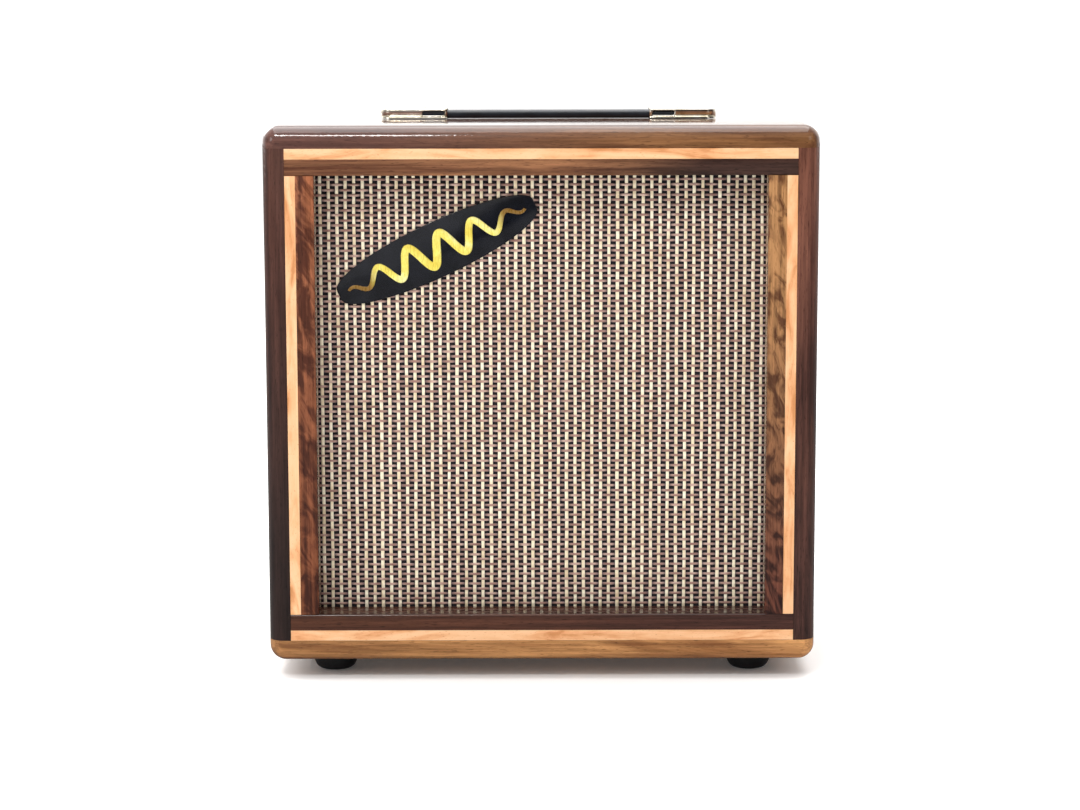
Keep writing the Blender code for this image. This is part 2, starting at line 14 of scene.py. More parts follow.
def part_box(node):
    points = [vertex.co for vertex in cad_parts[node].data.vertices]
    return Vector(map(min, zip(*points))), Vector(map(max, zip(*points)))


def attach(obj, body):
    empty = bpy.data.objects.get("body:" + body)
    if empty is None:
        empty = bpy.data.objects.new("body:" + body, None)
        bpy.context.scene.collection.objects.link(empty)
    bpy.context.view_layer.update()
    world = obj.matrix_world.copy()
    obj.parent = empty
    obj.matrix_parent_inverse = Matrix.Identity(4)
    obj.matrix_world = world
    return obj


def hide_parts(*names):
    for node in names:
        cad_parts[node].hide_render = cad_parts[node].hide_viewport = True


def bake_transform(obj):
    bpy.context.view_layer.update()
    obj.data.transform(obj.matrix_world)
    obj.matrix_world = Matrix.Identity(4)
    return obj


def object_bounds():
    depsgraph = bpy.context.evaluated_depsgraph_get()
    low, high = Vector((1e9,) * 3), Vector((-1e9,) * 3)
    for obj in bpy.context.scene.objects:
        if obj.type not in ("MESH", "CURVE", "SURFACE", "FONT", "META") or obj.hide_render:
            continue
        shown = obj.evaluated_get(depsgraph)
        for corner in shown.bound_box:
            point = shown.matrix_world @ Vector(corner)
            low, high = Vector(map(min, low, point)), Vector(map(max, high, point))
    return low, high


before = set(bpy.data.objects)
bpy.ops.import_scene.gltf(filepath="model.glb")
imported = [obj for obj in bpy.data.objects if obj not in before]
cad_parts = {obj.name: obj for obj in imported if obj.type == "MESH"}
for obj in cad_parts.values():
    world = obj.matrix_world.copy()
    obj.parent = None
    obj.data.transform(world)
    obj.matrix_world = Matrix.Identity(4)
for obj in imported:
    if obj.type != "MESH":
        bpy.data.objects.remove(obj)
CAD_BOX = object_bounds()

CABINET = "cabinet"
FRONT, REAR = CAD_BOX[0][1], CAD_BOX[1][1]


# ---------------------------------------------------------------- materials: a small node language


def srgb(red, green, blue):
    """A colour given as 0-255 display values, in linear light."""
    def linear(value):
        value = value / 255
        return value / 12.92 if value <= 0.04045 else ((value + 0.055) / 1.055) ** 2.4

    return (linear(red), linear(green), linear(blue), 1.0)


class Shader:
    """Builds one material. Each method adds a node and gives back its output."""

    def __init__(self, name):
        self.material = bpy.data.materials.new(name)
        self.material.use_nodes = True
        self.tree = self.material.node_tree
        self.main = self.tree.nodes["Principled BSDF"]
        self.coords = self.add("ShaderNodeTexCoord").outputs["Object"]

    def add(self, kind, **settings):
        node = self.tree.nodes.new(kind)
        for key, value in settings.items():
            setattr(node, key, value)
        return node

    def feed(self, socket, value):
        if isinstance(value, bpy.types.NodeSocket):
            self.tree.links.new(value, socket)
        else:
            socket.default_value = value

    def place(self, scale=(1, 1, 1), turn=(0, 0, 0), shift=(0, 0, 0), source=None):
        """Coordinates in metres, scaled, turned and shifted."""
        node = self.add("ShaderNodeMapping")
        self.feed(node.inputs["Vector"], source or self.coords)
        node.inputs["Scale"].default_value = scale
        node.inputs["Rotation"].default_value = turn
        node.inputs["Location"].default_value = shift
        return node.outputs["Vector"]

    def noise(self, vector, scale=1.0, detail=3.0, rough=0.5, warp=0.0):
        node = self.add("ShaderNodeTexNoise")
        self.feed(node.inputs["Vector"], vector)
        node.inputs["Scale"].default_value = scale
        node.inputs["Detail"].default_value = detail
        node.inputs["Roughness"].default_value = rough
        node.inputs["Distortion"].default_value = warp
        return node.outputs["Fac"]

    def cells(self, vector, scale, feature="F1"):
        node = self.add("ShaderNodeTexVoronoi", feature=feature)
        self.feed(node.inputs["Vector"], vector)
        node.inputs["Scale"].default_value = scale
        return node.outputs["Distance"]

    def bands(self, vector, scale, warp=0.0, axis="X", detail=2.0):
        node = self.add("ShaderNodeTexWave", bands_direction=axis)
        self.feed(node.inputs["Vector"], vector)
        node.inputs["Scale"].default_value = scale
        node.inputs["Distortion"].default_value = warp
        node.inputs["Detail"].default_value = detail
        return node.outputs["Fac"]

    def math(self, operation, first, second=0.5, clamp=False):
        node = self.add("ShaderNodeMath", operation=operation, use_clamp=clamp)
        self.feed(node.inputs[0], first)
        self.feed(node.inputs[1], second)
        return node.outputs[0]

    def spread(self, value, low, high, to_low=0.0, to_high=1.0):
        """Takes a value from one range to another, held at its ends."""
        node = self.add("ShaderNodeMapRange", interpolation_type="SMOOTHSTEP")
        self.feed(node.inputs["Value"], value)
        for key, number in zip(("From Min", "From Max", "To Min", "To Max"), (low, high, to_low, to_high)):
            node.inputs[key].default_value = number
        return node.outputs["Result"]

    def ramp(self, value, *stops):
        """Colours at places from 0 to 1."""
        node = self.add("ShaderNodeValToRGB")
        self.feed(node.inputs["Fac"], value)
        points = node.color_ramp.elements
        while len(points) < len(stops):
            points.new(0.5)
        for point, (place, colour) in zip(points, stops):
            point.position = place
            point.color = colour
        return node.outputs["Color"]

    def mix(self, amount, first, second, blend="MIX"):
        node = self.add("ShaderNodeMix", data_type="RGBA", blend_type=blend)
        self.feed(node.inputs["Factor"], amount)
        self.feed(node.inputs[6], first)
        self.feed(node.inputs[7], second)
        return node.outputs[2]

    def along(self, axis, source=None):
        node = self.add("ShaderNodeSeparateXYZ")
        self.feed(node.inputs[0], source or self.coords)
        return node.outputs["XYZ".index(axis)]

    def facing(self, axis):
        """How far the surface faces along an axis, from -1 to 1."""
        return self.along(axis, self.add("ShaderNodeNewGeometry").outputs["Normal"])

    def bump(self, height, strength, distance=0.001, under=None):
        node = self.add("ShaderNodeBump")
        self.feed(node.inputs["Height"], height)
        node.inputs["Strength"].default_value = strength
        node.inputs["Distance"].default_value = distance
        if under:
            self.feed(node.inputs["Normal"], under)
        return node.outputs["Normal"]

    def finish(self, colour, rough, normal=None, **sockets):
        self.feed(self.main.inputs["Base Color"], colour)
        self.feed(self.main.inputs["Roughness"], rough)
        if normal:
            self.feed(self.main.inputs["Normal"], normal)
        for name, value in sockets.items():
            self.feed(self.main.inputs[name.replace("_", " ")], value)
        return self.material


def lacquer(shader, colour, rough, normal):
    """Clear gloss lacquer over a wood colour, with a faint orange peel in the film."""
    peel = shader.bump(shader.noise(shader.coords, 330, 2), 0.16, 0.0006)
    shader.feed(shader.main.inputs["Coat Normal"], peel)
    return shader.finish(
        colour, rough, normal, Specular_IOR_Level=0.10, Coat_Weight=1.0, Coat_Roughness=0.035, Coat_IOR=1.45
    )


GRAIN_TURN = {"X": (0, 0, 0), "Z": (0, math.pi / 2, 0)}


def walnut(name, grain, start, end, seed, figure=0.0, reach=(-0.2, 0.2), streak=26, gloss=True):
    """Walnut. start and end are (dark, light) display colours at the two ends of the grain's axis."""
    s = Shader(name)
    shift = (seed * 3.7, seed * 1.9, seed * 5.3)
    slow = 1.6 + 0.3 * (seed % 3)
    turned = s.place(turn=GRAIN_TURN[grain])
    broad = s.noise(s.place((slow, streak, streak), shift=shift, source=turned), 1, 6, 0.62, 1.6)
    rings = s.noise(s.place((0.9, 150, 150), shift=shift, source=turned), 1, 3, 0.6, 0.5)
    fibre = s.noise(s.place((22, 620, 620), shift=shift, source=turned), 1, 2, 0.6)
    pores = s.noise(s.place((150, 2300, 2300), shift=shift, source=turned), 1, 1, 0.4)
    tone = s.math("ADD", s.math("MULTIPLY", broad, 0.68), s.math("MULTIPLY", rings, 0.32))
    if figure:
        leaning = s.place(turn=(0, 0.42, 0.42), source=turned)
        swirl = s.noise(s.place((9, 95, 95), shift=shift, source=leaning), 1, 3, 0.5, 1.4)
        tone = s.math("ADD", tone, s.math("MULTIPLY", s.math("SUBTRACT", swirl, 0.5), figure))
    tone = s.spread(tone, 0.36, 0.66)
    place = s.spread(s.along(grain), *reach)
    dark = s.mix(place, srgb(*start[0]), srgb(*end[0]))
    light = s.mix(place, srgb(*start[1]), srgb(*end[1]))
    colour = s.mix(tone, dark, light)
    colour = s.mix(s.spread(fibre, 0.35, 0.65, 0.30, 0.0), colour, (0.02, 0.010, 0.006, 1), "MULTIPLY")
    colour = s.mix(s.spread(pores, 0.30, 0.36, 0.62, 0.0), colour, (0.10, 0.055, 0.035, 1), "MULTIPLY")
    rough = s.spread(fibre, 0.3, 0.7, 0.34, 0.52)
    normal = s.bump(pores, 0.10 if gloss else 0.4, 0.0005)
    if gloss:
        return lacquer(s, colour, rough, normal)
    return s.finish(colour, s.spread(fibre, 0.3, 0.7, 0.60, 0.75), normal)


def maple(name, grain, seed):
    """Maple inlay: pale, close-grained, with a few amber clouds and short flecks."""
    s = Shader(name)
    shift = (seed * 2.3, seed * 4.1, seed * 1.7)
    turned = s.place(turn=GRAIN_TURN[grain])
    broad = s.noise(s.place((11, 70, 70), shift=shift, source=turned), 1, 4, 0.6, 1.6)
    cloud = s.noise(s.place((34, 60, 60), shift=shift, source=turned), 1, 3, 0.6, 0.8)
    fleck = s.noise(s.place((420, 1500, 1500), shift=shift, source=turned), 1, 1, 0.5)
    tone = s.spread(
        s.math("ADD", s.math("MULTIPLY", broad, 0.75), s.math("MULTIPLY", cloud, 0.25)), 0.34, 0.62
    )
    colour = s.ramp(
        tone, (0.0, srgb(196, 132, 84)), (0.25, srgb(218, 158, 110)), (0.6, srgb(227, 173, 127)),
        (1.0, srgb(234, 187, 144)),
    )
    colour = s.mix(s.spread(fleck, 0.26, 0.34, 0.5, 0.0), colour, srgb(180, 116, 70))
    return lacquer(s, colour, s.spread(fleck, 0.3, 0.7, 0.30, 0.45), s.bump(fleck, 0.06, 0.0004))


def moulded(name, colour, rough=0.35, speck=0.12, grain=900, relief=0.10, **sockets):
    """A plastic, rubber, paint or varnish: a colour that drifts a little, with a fine surface grain."""
    s = Shader(name)
    drift = s.noise(s.coords, 45, 4, 0.6)
    fine = s.noise(s.coords, grain, 3, 0.6)
    darker = tuple(c * (1 - speck) for c in colour[:3]) + (1.0,)
    lighter = tuple(min(1.0, c * (1 + speck) + 0.004) for c in colour[:3]) + (1.0,)
    tint = s.mix(s.spread(drift, 0.35, 0.65), darker, lighter)
    roughness = s.spread(s.math("ADD", drift, fine), 0.75, 1.25, rough * 0.85, min(1.0, rough * 1.2))
    return s.finish(tint, roughness, s.bump(fine, relief, 0.0005), **sockets)


def metal(name, colour, rough=0.25, brush=None, smudge=0.5, relief=0.04, tarnish=None):
    """A bare or plated metal. brush stretches its fine lines along an axis; smudge varies its gloss."""
    s = Shader(name)
    stretch = {
        "X": (12, 1500, 1500), "Y": (1500, 12, 1500), "Z": (1500, 1500, 12), None: (320, 320, 320)
    }[brush]
    lines = s.noise(s.place(stretch), 1, 3, 0.6)
    marks = s.noise(s.coords, 38, 5, 0.65, 0.6)
    other = tarnish or tuple(c * 0.82 for c in colour[:3]) + (1.0,)
    tint = s.mix(s.spread(marks, 0.42, 0.72), colour, other)
    roughness = s.math(
        "ADD", s.spread(lines, 0.3, 0.7, rough * 0.8, rough * 1.15),
        s.spread(marks, 0.4, 0.8, 0, smudge * rough)
    )
    return s.finish(tint, roughness, s.bump(lines, relief, 0.0003), Metallic=1.0)


# ---------------------------------------------------------------- geometry


def new_bm():
    return bmesh.new()


def piece(name, bm, finish, body=CABINET, replaces=(), smooth=35, at=None, tidy=True):
    """Makes an object from a bmesh and rides it on a body. at is a matrix baked into its points."""
    if at is not None:
        bmesh.ops.transform(bm, matrix=at, verts=bm.verts)
    if tidy:
        bmesh.ops.recalc_face_normals(bm, faces=bm.faces)
    mesh = bpy.data.meshes.new(name)
    bm.to_mesh(mesh)
    bm.free()
    mesh.materials.append(finish)
    mesh.shade_smooth()
    if smooth:
        mesh.set_sharp_from_angle(angle=math.radians(smooth))
    obj = bpy.data.objects.new(name, mesh)
    bpy.context.scene.collection.objects.link(obj)
    if body:
        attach(obj, body)
    if replaces:
        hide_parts(*replaces)
    return obj


def box_bm(low, high, ease=0.0, segments=2, where=None):
    """A box with its edges rounded. where picks the edges, from the middle of each."""
    bm = new_bm()
    bmesh.ops.create_cube(bm, size=1)
    low, high = Vector(low), Vector(high)
    for v in bm.verts:
        v.co = Vector((lo + (c + 0.5) * (hi - lo) for c, lo, hi in zip(v.co, low, high)))
    if ease:
        edges = [e for e in bm.edges if where is None or where((e.verts[0].co + e.verts[1].co) / 2)]
        bmesh.ops.bevel(bm, geom=edges, offset=ease, segments=segments, profile=0.5, affect="EDGES")
    return bm


def add_bm(bm, other, matrix=None):
    """Adds another bmesh's faces to this one."""
    if matrix is not None:
        bmesh.ops.transform(other, matrix=matrix, verts=other.verts)
    mesh = bpy.data.meshes.new("part")
    other.to_mesh(mesh)
    other.free()
    bm.from_mesh(mesh)
    bpy.data.meshes.remove(mesh)
    return bm


def rounded(profile, radius=0.0006, steps=3):
    """A profile's points with each inner corner turned into a short arc."""
    out = [Vector(profile[0])]
    for before, here, after in zip(profile, profile[1:], profile[2:]):
        before, here, after = Vector(before), Vector(here), Vector(after)
        back, on = before - here, after - here
        reach = min(radius, back.length * 0.45, on.length * 0.45)
        a, b = here + back.normalized() * reach, here + on.normalized() * reach
        for i in range(steps + 1):
            t = i / steps
            out.append(a * (1 - t) ** 2 + here * 2 * t * (1 - t) + b * t * t)
    out.append(Vector(profile[-1]))
    return [tuple(p) for p in out]


def turned_bm(profile, steps=48, ring=False):
    """A profile of (radius, height) spun about Z. A ring's profile closes on itself."""
    bm = new_bm()
    points = [bm.verts.new((radius, 0, height)) for radius, height in profile]
    ends = points[1:] + points[:1] if ring else points[1:]
    edges = [bm.edges.new(pair) for pair in zip(points, ends)]
    bmesh.ops.spin(bm, geom=points + edges, axis=(0, 0, 1), cent=(0, 0, 0), angle=2 * math.pi, steps=steps)
    bmesh.ops.remove_doubles(bm, verts=bm.verts, dist=1e-6)
    return bm


def prism_bm(outline, thick, ease=0.0, segments=2):
    """An outline in XY raised along Z, with its upper edge eased."""
    bm = new_bm()
    face = bm.faces.new([bm.verts.new((x, y, 0)) for x, y in outline])
    grown = bmesh.ops.extrude_face_region(bm, geom=[face])["geom"]
    top = [item for item in grown if isinstance(item, bmesh.types.BMVert)]
    bmesh.ops.translate(bm, vec=(0, 0, thick), verts=top)
    if ease:
        rim = [e for e in bm.edges if all(v in top for v in e.verts)]
        bmesh.ops.bevel(bm, geom=rim, offset=ease, segments=segments, profile=0.5, affect="EDGES")
    return bm


def cut(obj, *cutters):
    """Takes each cutter's shape out of a piece for good."""
    for i, bm in enumerate(cutters):
        bmesh.ops.recalc_face_normals(bm, faces=bm.faces)
        mesh = bpy.data.meshes.new(f"cutter_{i}")
        bm.to_mesh(mesh)
        bm.free()
        cutter = bpy.data.objects.new(f"cutter_{i}", mesh)
        bpy.context.scene.collection.objects.link(cutter)
        step = obj.modifiers.new("cut", "BOOLEAN")
        step.object = cutter
        step.solver = "EXACT"
        with bpy.context.temp_override(object=obj, active_object=obj, selected_objects=[obj]):
            bpy.ops.object.modifier_apply(modifier=step.name)
        bpy.data.objects.remove(cutter, do_unlink=True)
        bpy.data.meshes.remove(mesh)


def tube_bm(route, radius, sides=10, caps=True):
    """A round tube along a list of points."""
    route = [Vector(p) for p in route]
    bm = new_bm()
    ahead = [(b - a).normalized() for a, b in zip(route, route[1:])]
    ahead.append(ahead[-1])
    side = ahead[0].orthogonal().normalized()
    rings = []
    for i, (point, way) in enumerate(zip(route, ahead)):
        lean = (ahead[max(i - 1, 0)] + way).normalized()
        side = (side - lean * side.dot(lean)).normalized()
        up = lean.cross(side)
        ring = []
        for k in range(sides):
            turn = 2 * math.pi * k / sides
            ring.append(bm.verts.new(point + (side * math.cos(turn) + up * math.sin(turn)) * radius))
        rings.append(ring)
    for low, high in zip(rings, rings[1:]):
        for k in range(sides):
            bm.faces.new((low[k], low[(k + 1) % sides], high[(k + 1) % sides], high[k]))
    if caps:
        bm.faces.new(rings[0][::-1])
        bm.faces.new(rings[-1])
    return bm


def smooth_route(route, between=6):
    """Points on the Catmull-Rom curve through a route."""
    points = [Vector(p) for p in (route[0], *route, route[-1])]
    found = []
    for a, b, c, d in zip(points, points[1:], points[2:], points[3:]):
        for i in range(between):
            t = i / between
            found.append(
                0.5 * (
                    2 * b + (c - a) * t + (
                        2 * a - 5 * b + 4 * c - d
                    ) * t**2 + (3 * b - a - 3 * c + d) * t**3
                )
            )
    return [*found, Vector(route[-1])]


def placed(spot, turn=(0, 0, 0), scale=1.0):
    return Matrix.Translation(spot) @ Euler(turn).to_matrix().to_4x4() @ Matrix.Scale(scale, 4)


OUT_FRONT = (math.pi / 2, 0, 0)
OUT_REAR = (-math.pi / 2, 0, 0)


# ---------------------------------------------------------------- cabinet and inlaid frame

ROUNDOVER = 0.0125


def cut_away(bm, axis, at, keep_above):
    """Slices a closed shape by a plane and closes the cut."""
    normal = Vector([float(i == axis) for i in range(3)])
    side = -normal if keep_above else normal
    spot = normal * at
    everything = bm.verts[:] + bm.edges[:] + bm.faces[:]
    cuts = bmesh.ops.bisect_plane(bm, geom=everything, plane_co=spot, plane_no=side, clear_outer=True)
    edges = [e for e in cuts["geom_cut"] if isinstance(e, bmesh.types.BMEdge)]
    bmesh.ops.holes_fill(bm, edges=edges)
    return bm


def cabinet():
    low, high = Vector(CAD_BOX[0]), Vector(CAD_BOX[1])
    top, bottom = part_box("cabinet_top_board"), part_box("cabinet_bottom_board")
    left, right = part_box("cabinet_left_side"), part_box("cabinet_right_side")
    seam = 0.00004
    box_low, box_high = (low.x, FRONT, bottom[0].z), (high.x, REAR, top[1].z)
    boards = {
        "board_top": (
            "cabinet_top_board", [(2, top[0].z, True)],
            walnut("walnut_top", "X", ((51, 25, 23), (108, 71, 61)), ((81, 45, 27), (150, 105, 64)), 3),
        ),
        "board_bottom": (
            "cabinet_bottom_board", [(2, bottom[1].z, False)],
            walnut(
                "walnut_bottom", "X", ((114, 70, 38), (182, 131, 81)), ((139, 89, 50), (226, 166, 105)), 8
            ),
        ),
        "board_left": (
            "cabinet_left_side",
            [(2, bottom[1].z + seam, True), (2, top[0].z - seam, False), (0, left[1].x, False)],
            walnut(
                "walnut_left", "Z", ((23, 14, 13), (50, 33, 29)), ((43, 22, 19), (86, 53, 43)), 5,
                reach=(0.05, 0.38),
            ),
        ),
        "board_right": (
            "cabinet_right_side",
            [(2, bottom[1].z + seam, True), (2, top[0].z - seam, False), (0, right[0].x, True)],
            walnut(
                "walnut_right", "Z", ((43, 25, 22), (98, 61, 51)), ((64, 33, 26), (125, 79, 63)), 11,
                reach=(0.05, 0.38),
            ),
        ),
    }
    for name, (node, cuts, finish) in boards.items():
        bm = box_bm(box_low, box_high, ROUNDOVER, 10)
        for axis, at, above in cuts:
            cut_away(bm, axis, at, above)
        piece(name, bm, finish, replaces=[node], smooth=20)


def frame_strip(name, finish, eased):
    """One inlay strip, filling the fit gaps beside it, with only its opening edge rounded."""
    low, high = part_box(name)
    gap = 0.00028
    low, high = Vector((low.x, FRONT, low.z)), Vector((high.x, high.y, high.z))
    for axis in (0, 2):
        low[axis] -= gap / 2
        high[axis] += gap / 2
    inner = {"top": (2, low.z), "bottom": (2, high.z), "left": (0, high.x), "right": (0, low.x)}
    axis, edge = inner[name.split("_")[1]]

    def picks(middle):
        return eased and abs(middle[axis] - edge) < 1e-4 and abs(middle.y - FRONT) < 1e-4

    bm = box_bm(low, high, 0.0016 if eased else 0.0, 5, picks)
    piece(name.replace("frame", "inlay"), bm, finish, replaces=[name], smooth=20)


def inlaid_frame():
    walnuts = {
        "top": walnut(
            "inlay_walnut_top", "X", ((90, 51, 33), (172, 120, 82)), ((30, 18, 16), (70, 46, 38)), 2,
            reach=(0.0, 0.13), streak=60
        ),
        "bottom": walnut(
            "inlay_walnut_bottom", "X", ((54, 27, 18), (98, 58, 38)), ((42, 23, 19), (90, 54, 44)), 7,
            streak=70
        ),
        "left": walnut(
            "inlay_walnut_left", "Z", ((65, 29, 16), (130, 73, 45)), ((83, 43, 28), (166, 101, 68)), 4, 0.8,
            (0.05, 0.38), 75,
        ),
        "right": walnut(
            "inlay_walnut_right", "Z", ((46, 21, 17), (108, 60, 44)), ((100, 62, 36), (176, 128, 82)), 9,
            1.1,
            (0.05, 0.36), 60,
        ),
    }
    for i, side in enumerate(("top", "bottom", "left", "right")):
        grain = "X" if side in ("top", "bottom") else "Z"
        frame_strip(f"frame_{side}_walnut", walnuts[side], True)
        frame_strip(f"frame_{side}_maple", maple(f"inlay_maple_{side}", grain, i + 1), False)


# ---------------------------------------------------------------- grille

WARP_PITCH, WEFT_PITCH = 0.00651, 0.00389
WARP_WIDTH, WARP_THICK = 0.00248, 0.00026
WEFT_WIDTH, WEFT_THICK = 0.00190, 0.00028
TUCK = 0.005


def strand_mesh(lines, section, closed_ends=True):
    """Strands swept along rows of points.

    lines is (strand, point, xyz); section gives each corner's offset.
    """
    strands, points, corners = lines.shape[0], lines.shape[1], section.shape[-2]
    spots = lines[:, :, None, :] + section
    count = strands * points * corners
    index = np.arange(count).reshape(strands, points, corners)
    here, ahead = index[:, :-1], index[:, 1:]
    quads = np.stack([here, np.roll(here, -1, 2), np.roll(ahead, -1, 2), ahead], -1).reshape(-1, 4)
    faces = quads.tolist()
    if closed_ends:
        faces += index[:, 0, ::-1].tolist() + index[:, -1].tolist()
    return spots.reshape(-1, 3).tolist(), faces


def strand_piece(name, spots, faces, finish):
    mesh = bpy.data.meshes.new(name)
    mesh.from_pydata(spots, [], faces)
    mesh.update()
    mesh.materials.append(finish)
    mesh.shade_smooth()
    obj = bpy.data.objects.new(name, mesh)
    bpy.context.scene.collection.objects.link(obj)
    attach(obj, CABINET)
    return obj


def grille():
    """Plain weave: cream warp tapes and tan weft cords over a black scrim, pressed flat behind the frame."""
    low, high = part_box("grille_cloth")
    left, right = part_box("frame_left_walnut")[1].x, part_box("frame_right_walnut")[0].x
    under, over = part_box("frame_bottom_walnut")[1].z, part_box("frame_top_walnut")[0].z
    rest = low.y

    def pressed(x, z):
        """1 in the open, falling to a tenth behind the frame."""
        inside = np.minimum(np.minimum(x - left, right - x), np.minimum(z - under, over - z))
        return 0.12 + 0.88 * np.clip((inside + 0.0005) / 0.0020, 0, 1)

    rng = np.random.default_rng(7)
    columns = np.arange(left - TUCK + 0.0012, right + TUCK, WARP_PITCH)
    rows = np.arange(under - TUCK, over + TUCK, WEFT_PITCH)

    z = np.arange(rows[0], rows[-1], WEFT_PITCH / 4)
    x = np.repeat(columns[:, None], len(z), 1) + 0.00010 * rng.standard_normal((len(columns), 1))
    x = x + 0.00012 * np.sin(z[None, :] * 90 + rng.uniform(0, 6.3, (len(columns), 1)))
    zz = np.repeat(z[None, :], len(columns), 0)
    parity = (np.arange(len(columns)) % 2)[:, None]
    phase = np.cos(math.pi * ((zz - rows[0]) / WEFT_PITCH + parity))
    press = pressed(x, zz)
    y = rest + 0.00037 - 0.00028 * phase * press
    lines = np.stack([x, y, zz], -1)
    half, thick = WARP_WIDTH / 2, WARP_THICK / 2
    across = np.array([-1, -0.82, 0.0, 0.82, 1, 0.82, 0.0, -0.82]) * half
    through = np.array([0, -0.75, -1, -0.75, 0, 0.75, 1, 0.75]) * thick
    wide = (1 + 0.05 * rng.standard_normal((len(columns), 1)))[..., None] * np.ones((1, len(z), 1))
    section = np.stack(
        [across * wide, through * press[..., None], np.zeros_like(press)[..., None] * across], -1
    )
    warp = strand_piece("grille_warp", *strand_mesh(lines, section), cream_tape())

    x = np.arange(columns[0] - 0.003, columns[-1] + 0.003, WARP_PITCH / 5)
    zz = np.repeat(rows[:, None], len(x), 1) + 0.00008 * rng.standard_normal((len(rows), 1))
    zz = zz + 0.00010 * np.sin(x[None, :] * 70 + rng.uniform(0, 6.3, (len(rows), 1)))
    xx = np.repeat(x[None, :], len(rows), 0)
    parity = (np.arange(len(rows)) % 2)[:, None]
    phase = np.cos(math.pi * ((xx - columns[0]) / WARP_PITCH + parity))
    press = pressed(xx, zz)
    y = rest + 0.00037 + 0.00030 * phase * press
    lines = np.stack([xx, y, zz], -1)
    turn = np.arange(7) / 7 * 2 * math.pi
    section = np.stack(
        [
            np.zeros((*press.shape, 7)),
            np.cos(turn) * WEFT_THICK / 2 * press[..., None],
            np.sin(turn) * WEFT_WIDTH / 2 * np.ones((*press.shape, 1)),
        ],
        -1,
    )
    weft = strand_piece("grille_weft", *strand_mesh(lines, section), tan_cord())

    bm = new_bm()
    bmesh.ops.create_grid(bm, x_segments=60, y_segments=60, size=0.5)
    wide, tall = high.x - low.x, high.z - low.z
    for v in bm.verts:
        v.co = Vector((low.x + (v.co.x + 0.5) * wide, high.y + 0.0001, low.z + (v.co.y + 0.5) * tall))
    scrim = piece(
        "grille_scrim", bm, black_yarn("scrim_yarn"), replaces=["grille_cloth"],
        tidy=False
    )


def cream_tape():
    s = Shader("cream_tape")
    fibres = s.noise(s.place((5200, 5200, 420)), 1, 3, 0.6)
    batch = s.noise(s.place((153, 1, 60)), 1, 2, 0.5)
    soil = s.noise(s.coords, 26, 4, 0.6)
    colour = s.ramp(
        s.spread(batch, 0.3, 0.7), (0.0, srgb(228, 208, 172)), (0.5, srgb(242, 230, 200)),
        (1.0, srgb(250, 243, 220))
    )
    colour = s.mix(s.spread(fibres, 0.30, 0.55, 0.35, 0.0), colour, srgb(190, 156, 112))
    colour = s.mix(s.spread(soil, 0.55, 0.8, 0.0, 0.18), colour, srgb(190, 150, 110))
    return s.finish(
        colour, s.spread(fibres, 0.3, 0.7, 0.42, 0.62), s.bump(fibres, 0.5, 0.0003), Sheen_Weight=0.15
    )


def tan_cord():
    """Tan on the crowns, with painted shade, greyer and then near black, where the cord dives behind a tape.
    """
    s = Shader("tan_cord")
    twist = s.bands(s.place((1500, 900, 900), (0, 0, 0.5)), 0.5, 2, "X", 1)
    batch = s.noise(s.place((90, 1, 256)), 1, 2, 0.5)
    colour = s.ramp(
        s.spread(batch, 0.3, 0.7), (0.0, srgb(150, 110, 98)), (0.5, srgb(182, 144, 130)),
        (1.0, srgb(212, 180, 166))
    )
    colour = s.mix(s.spread(twist, 0.2, 0.6, 0.30, 0.0), colour, srgb(104, 76, 70))
    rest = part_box("grille_cloth")[0].y + 0.00037
    # painted shade: the cord turns greyer the deeper it lies behind a tape
    colour = s.mix(
        s.spread(s.along("Y"), rest - 0.00022, rest + 0.00008, 0.0, 0.62), colour, srgb(96, 82, 88)
    )
    # painted shade: deeper still, the cord goes near black
    colour = s.mix(
        s.spread(s.along("Y"), rest + 0.00002, rest + 0.00022, 0.0, 0.94), colour, srgb(22, 16, 24)
    )
    return s.finish(colour, 0.46, s.bump(twist, 0.35, 0.0003), Sheen_Weight=0.15)


def black_yarn(name):
    s = Shader(name)
    fibres = s.noise(s.place((1800, 1800, 1800)), 1, 3, 0.6)
    weave = s.math("MULTIPLY", s.bands(s.coords, 320, 0, "X", 0), s.bands(s.coords, 320, 0, "Z", 0))
    colour = s.mix(s.spread(s.math("ADD", fibres, weave), 0.4, 1.2), srgb(8, 5, 11), srgb(30, 22, 34))
    return s.finish(
        colour, s.spread(fibres, 0.3, 0.7, 0.7, 0.9), s.bump(weave, 0.6, 0.0003), Sheen_Weight=0.1
    )


# ---------------------------------------------------------------- badge


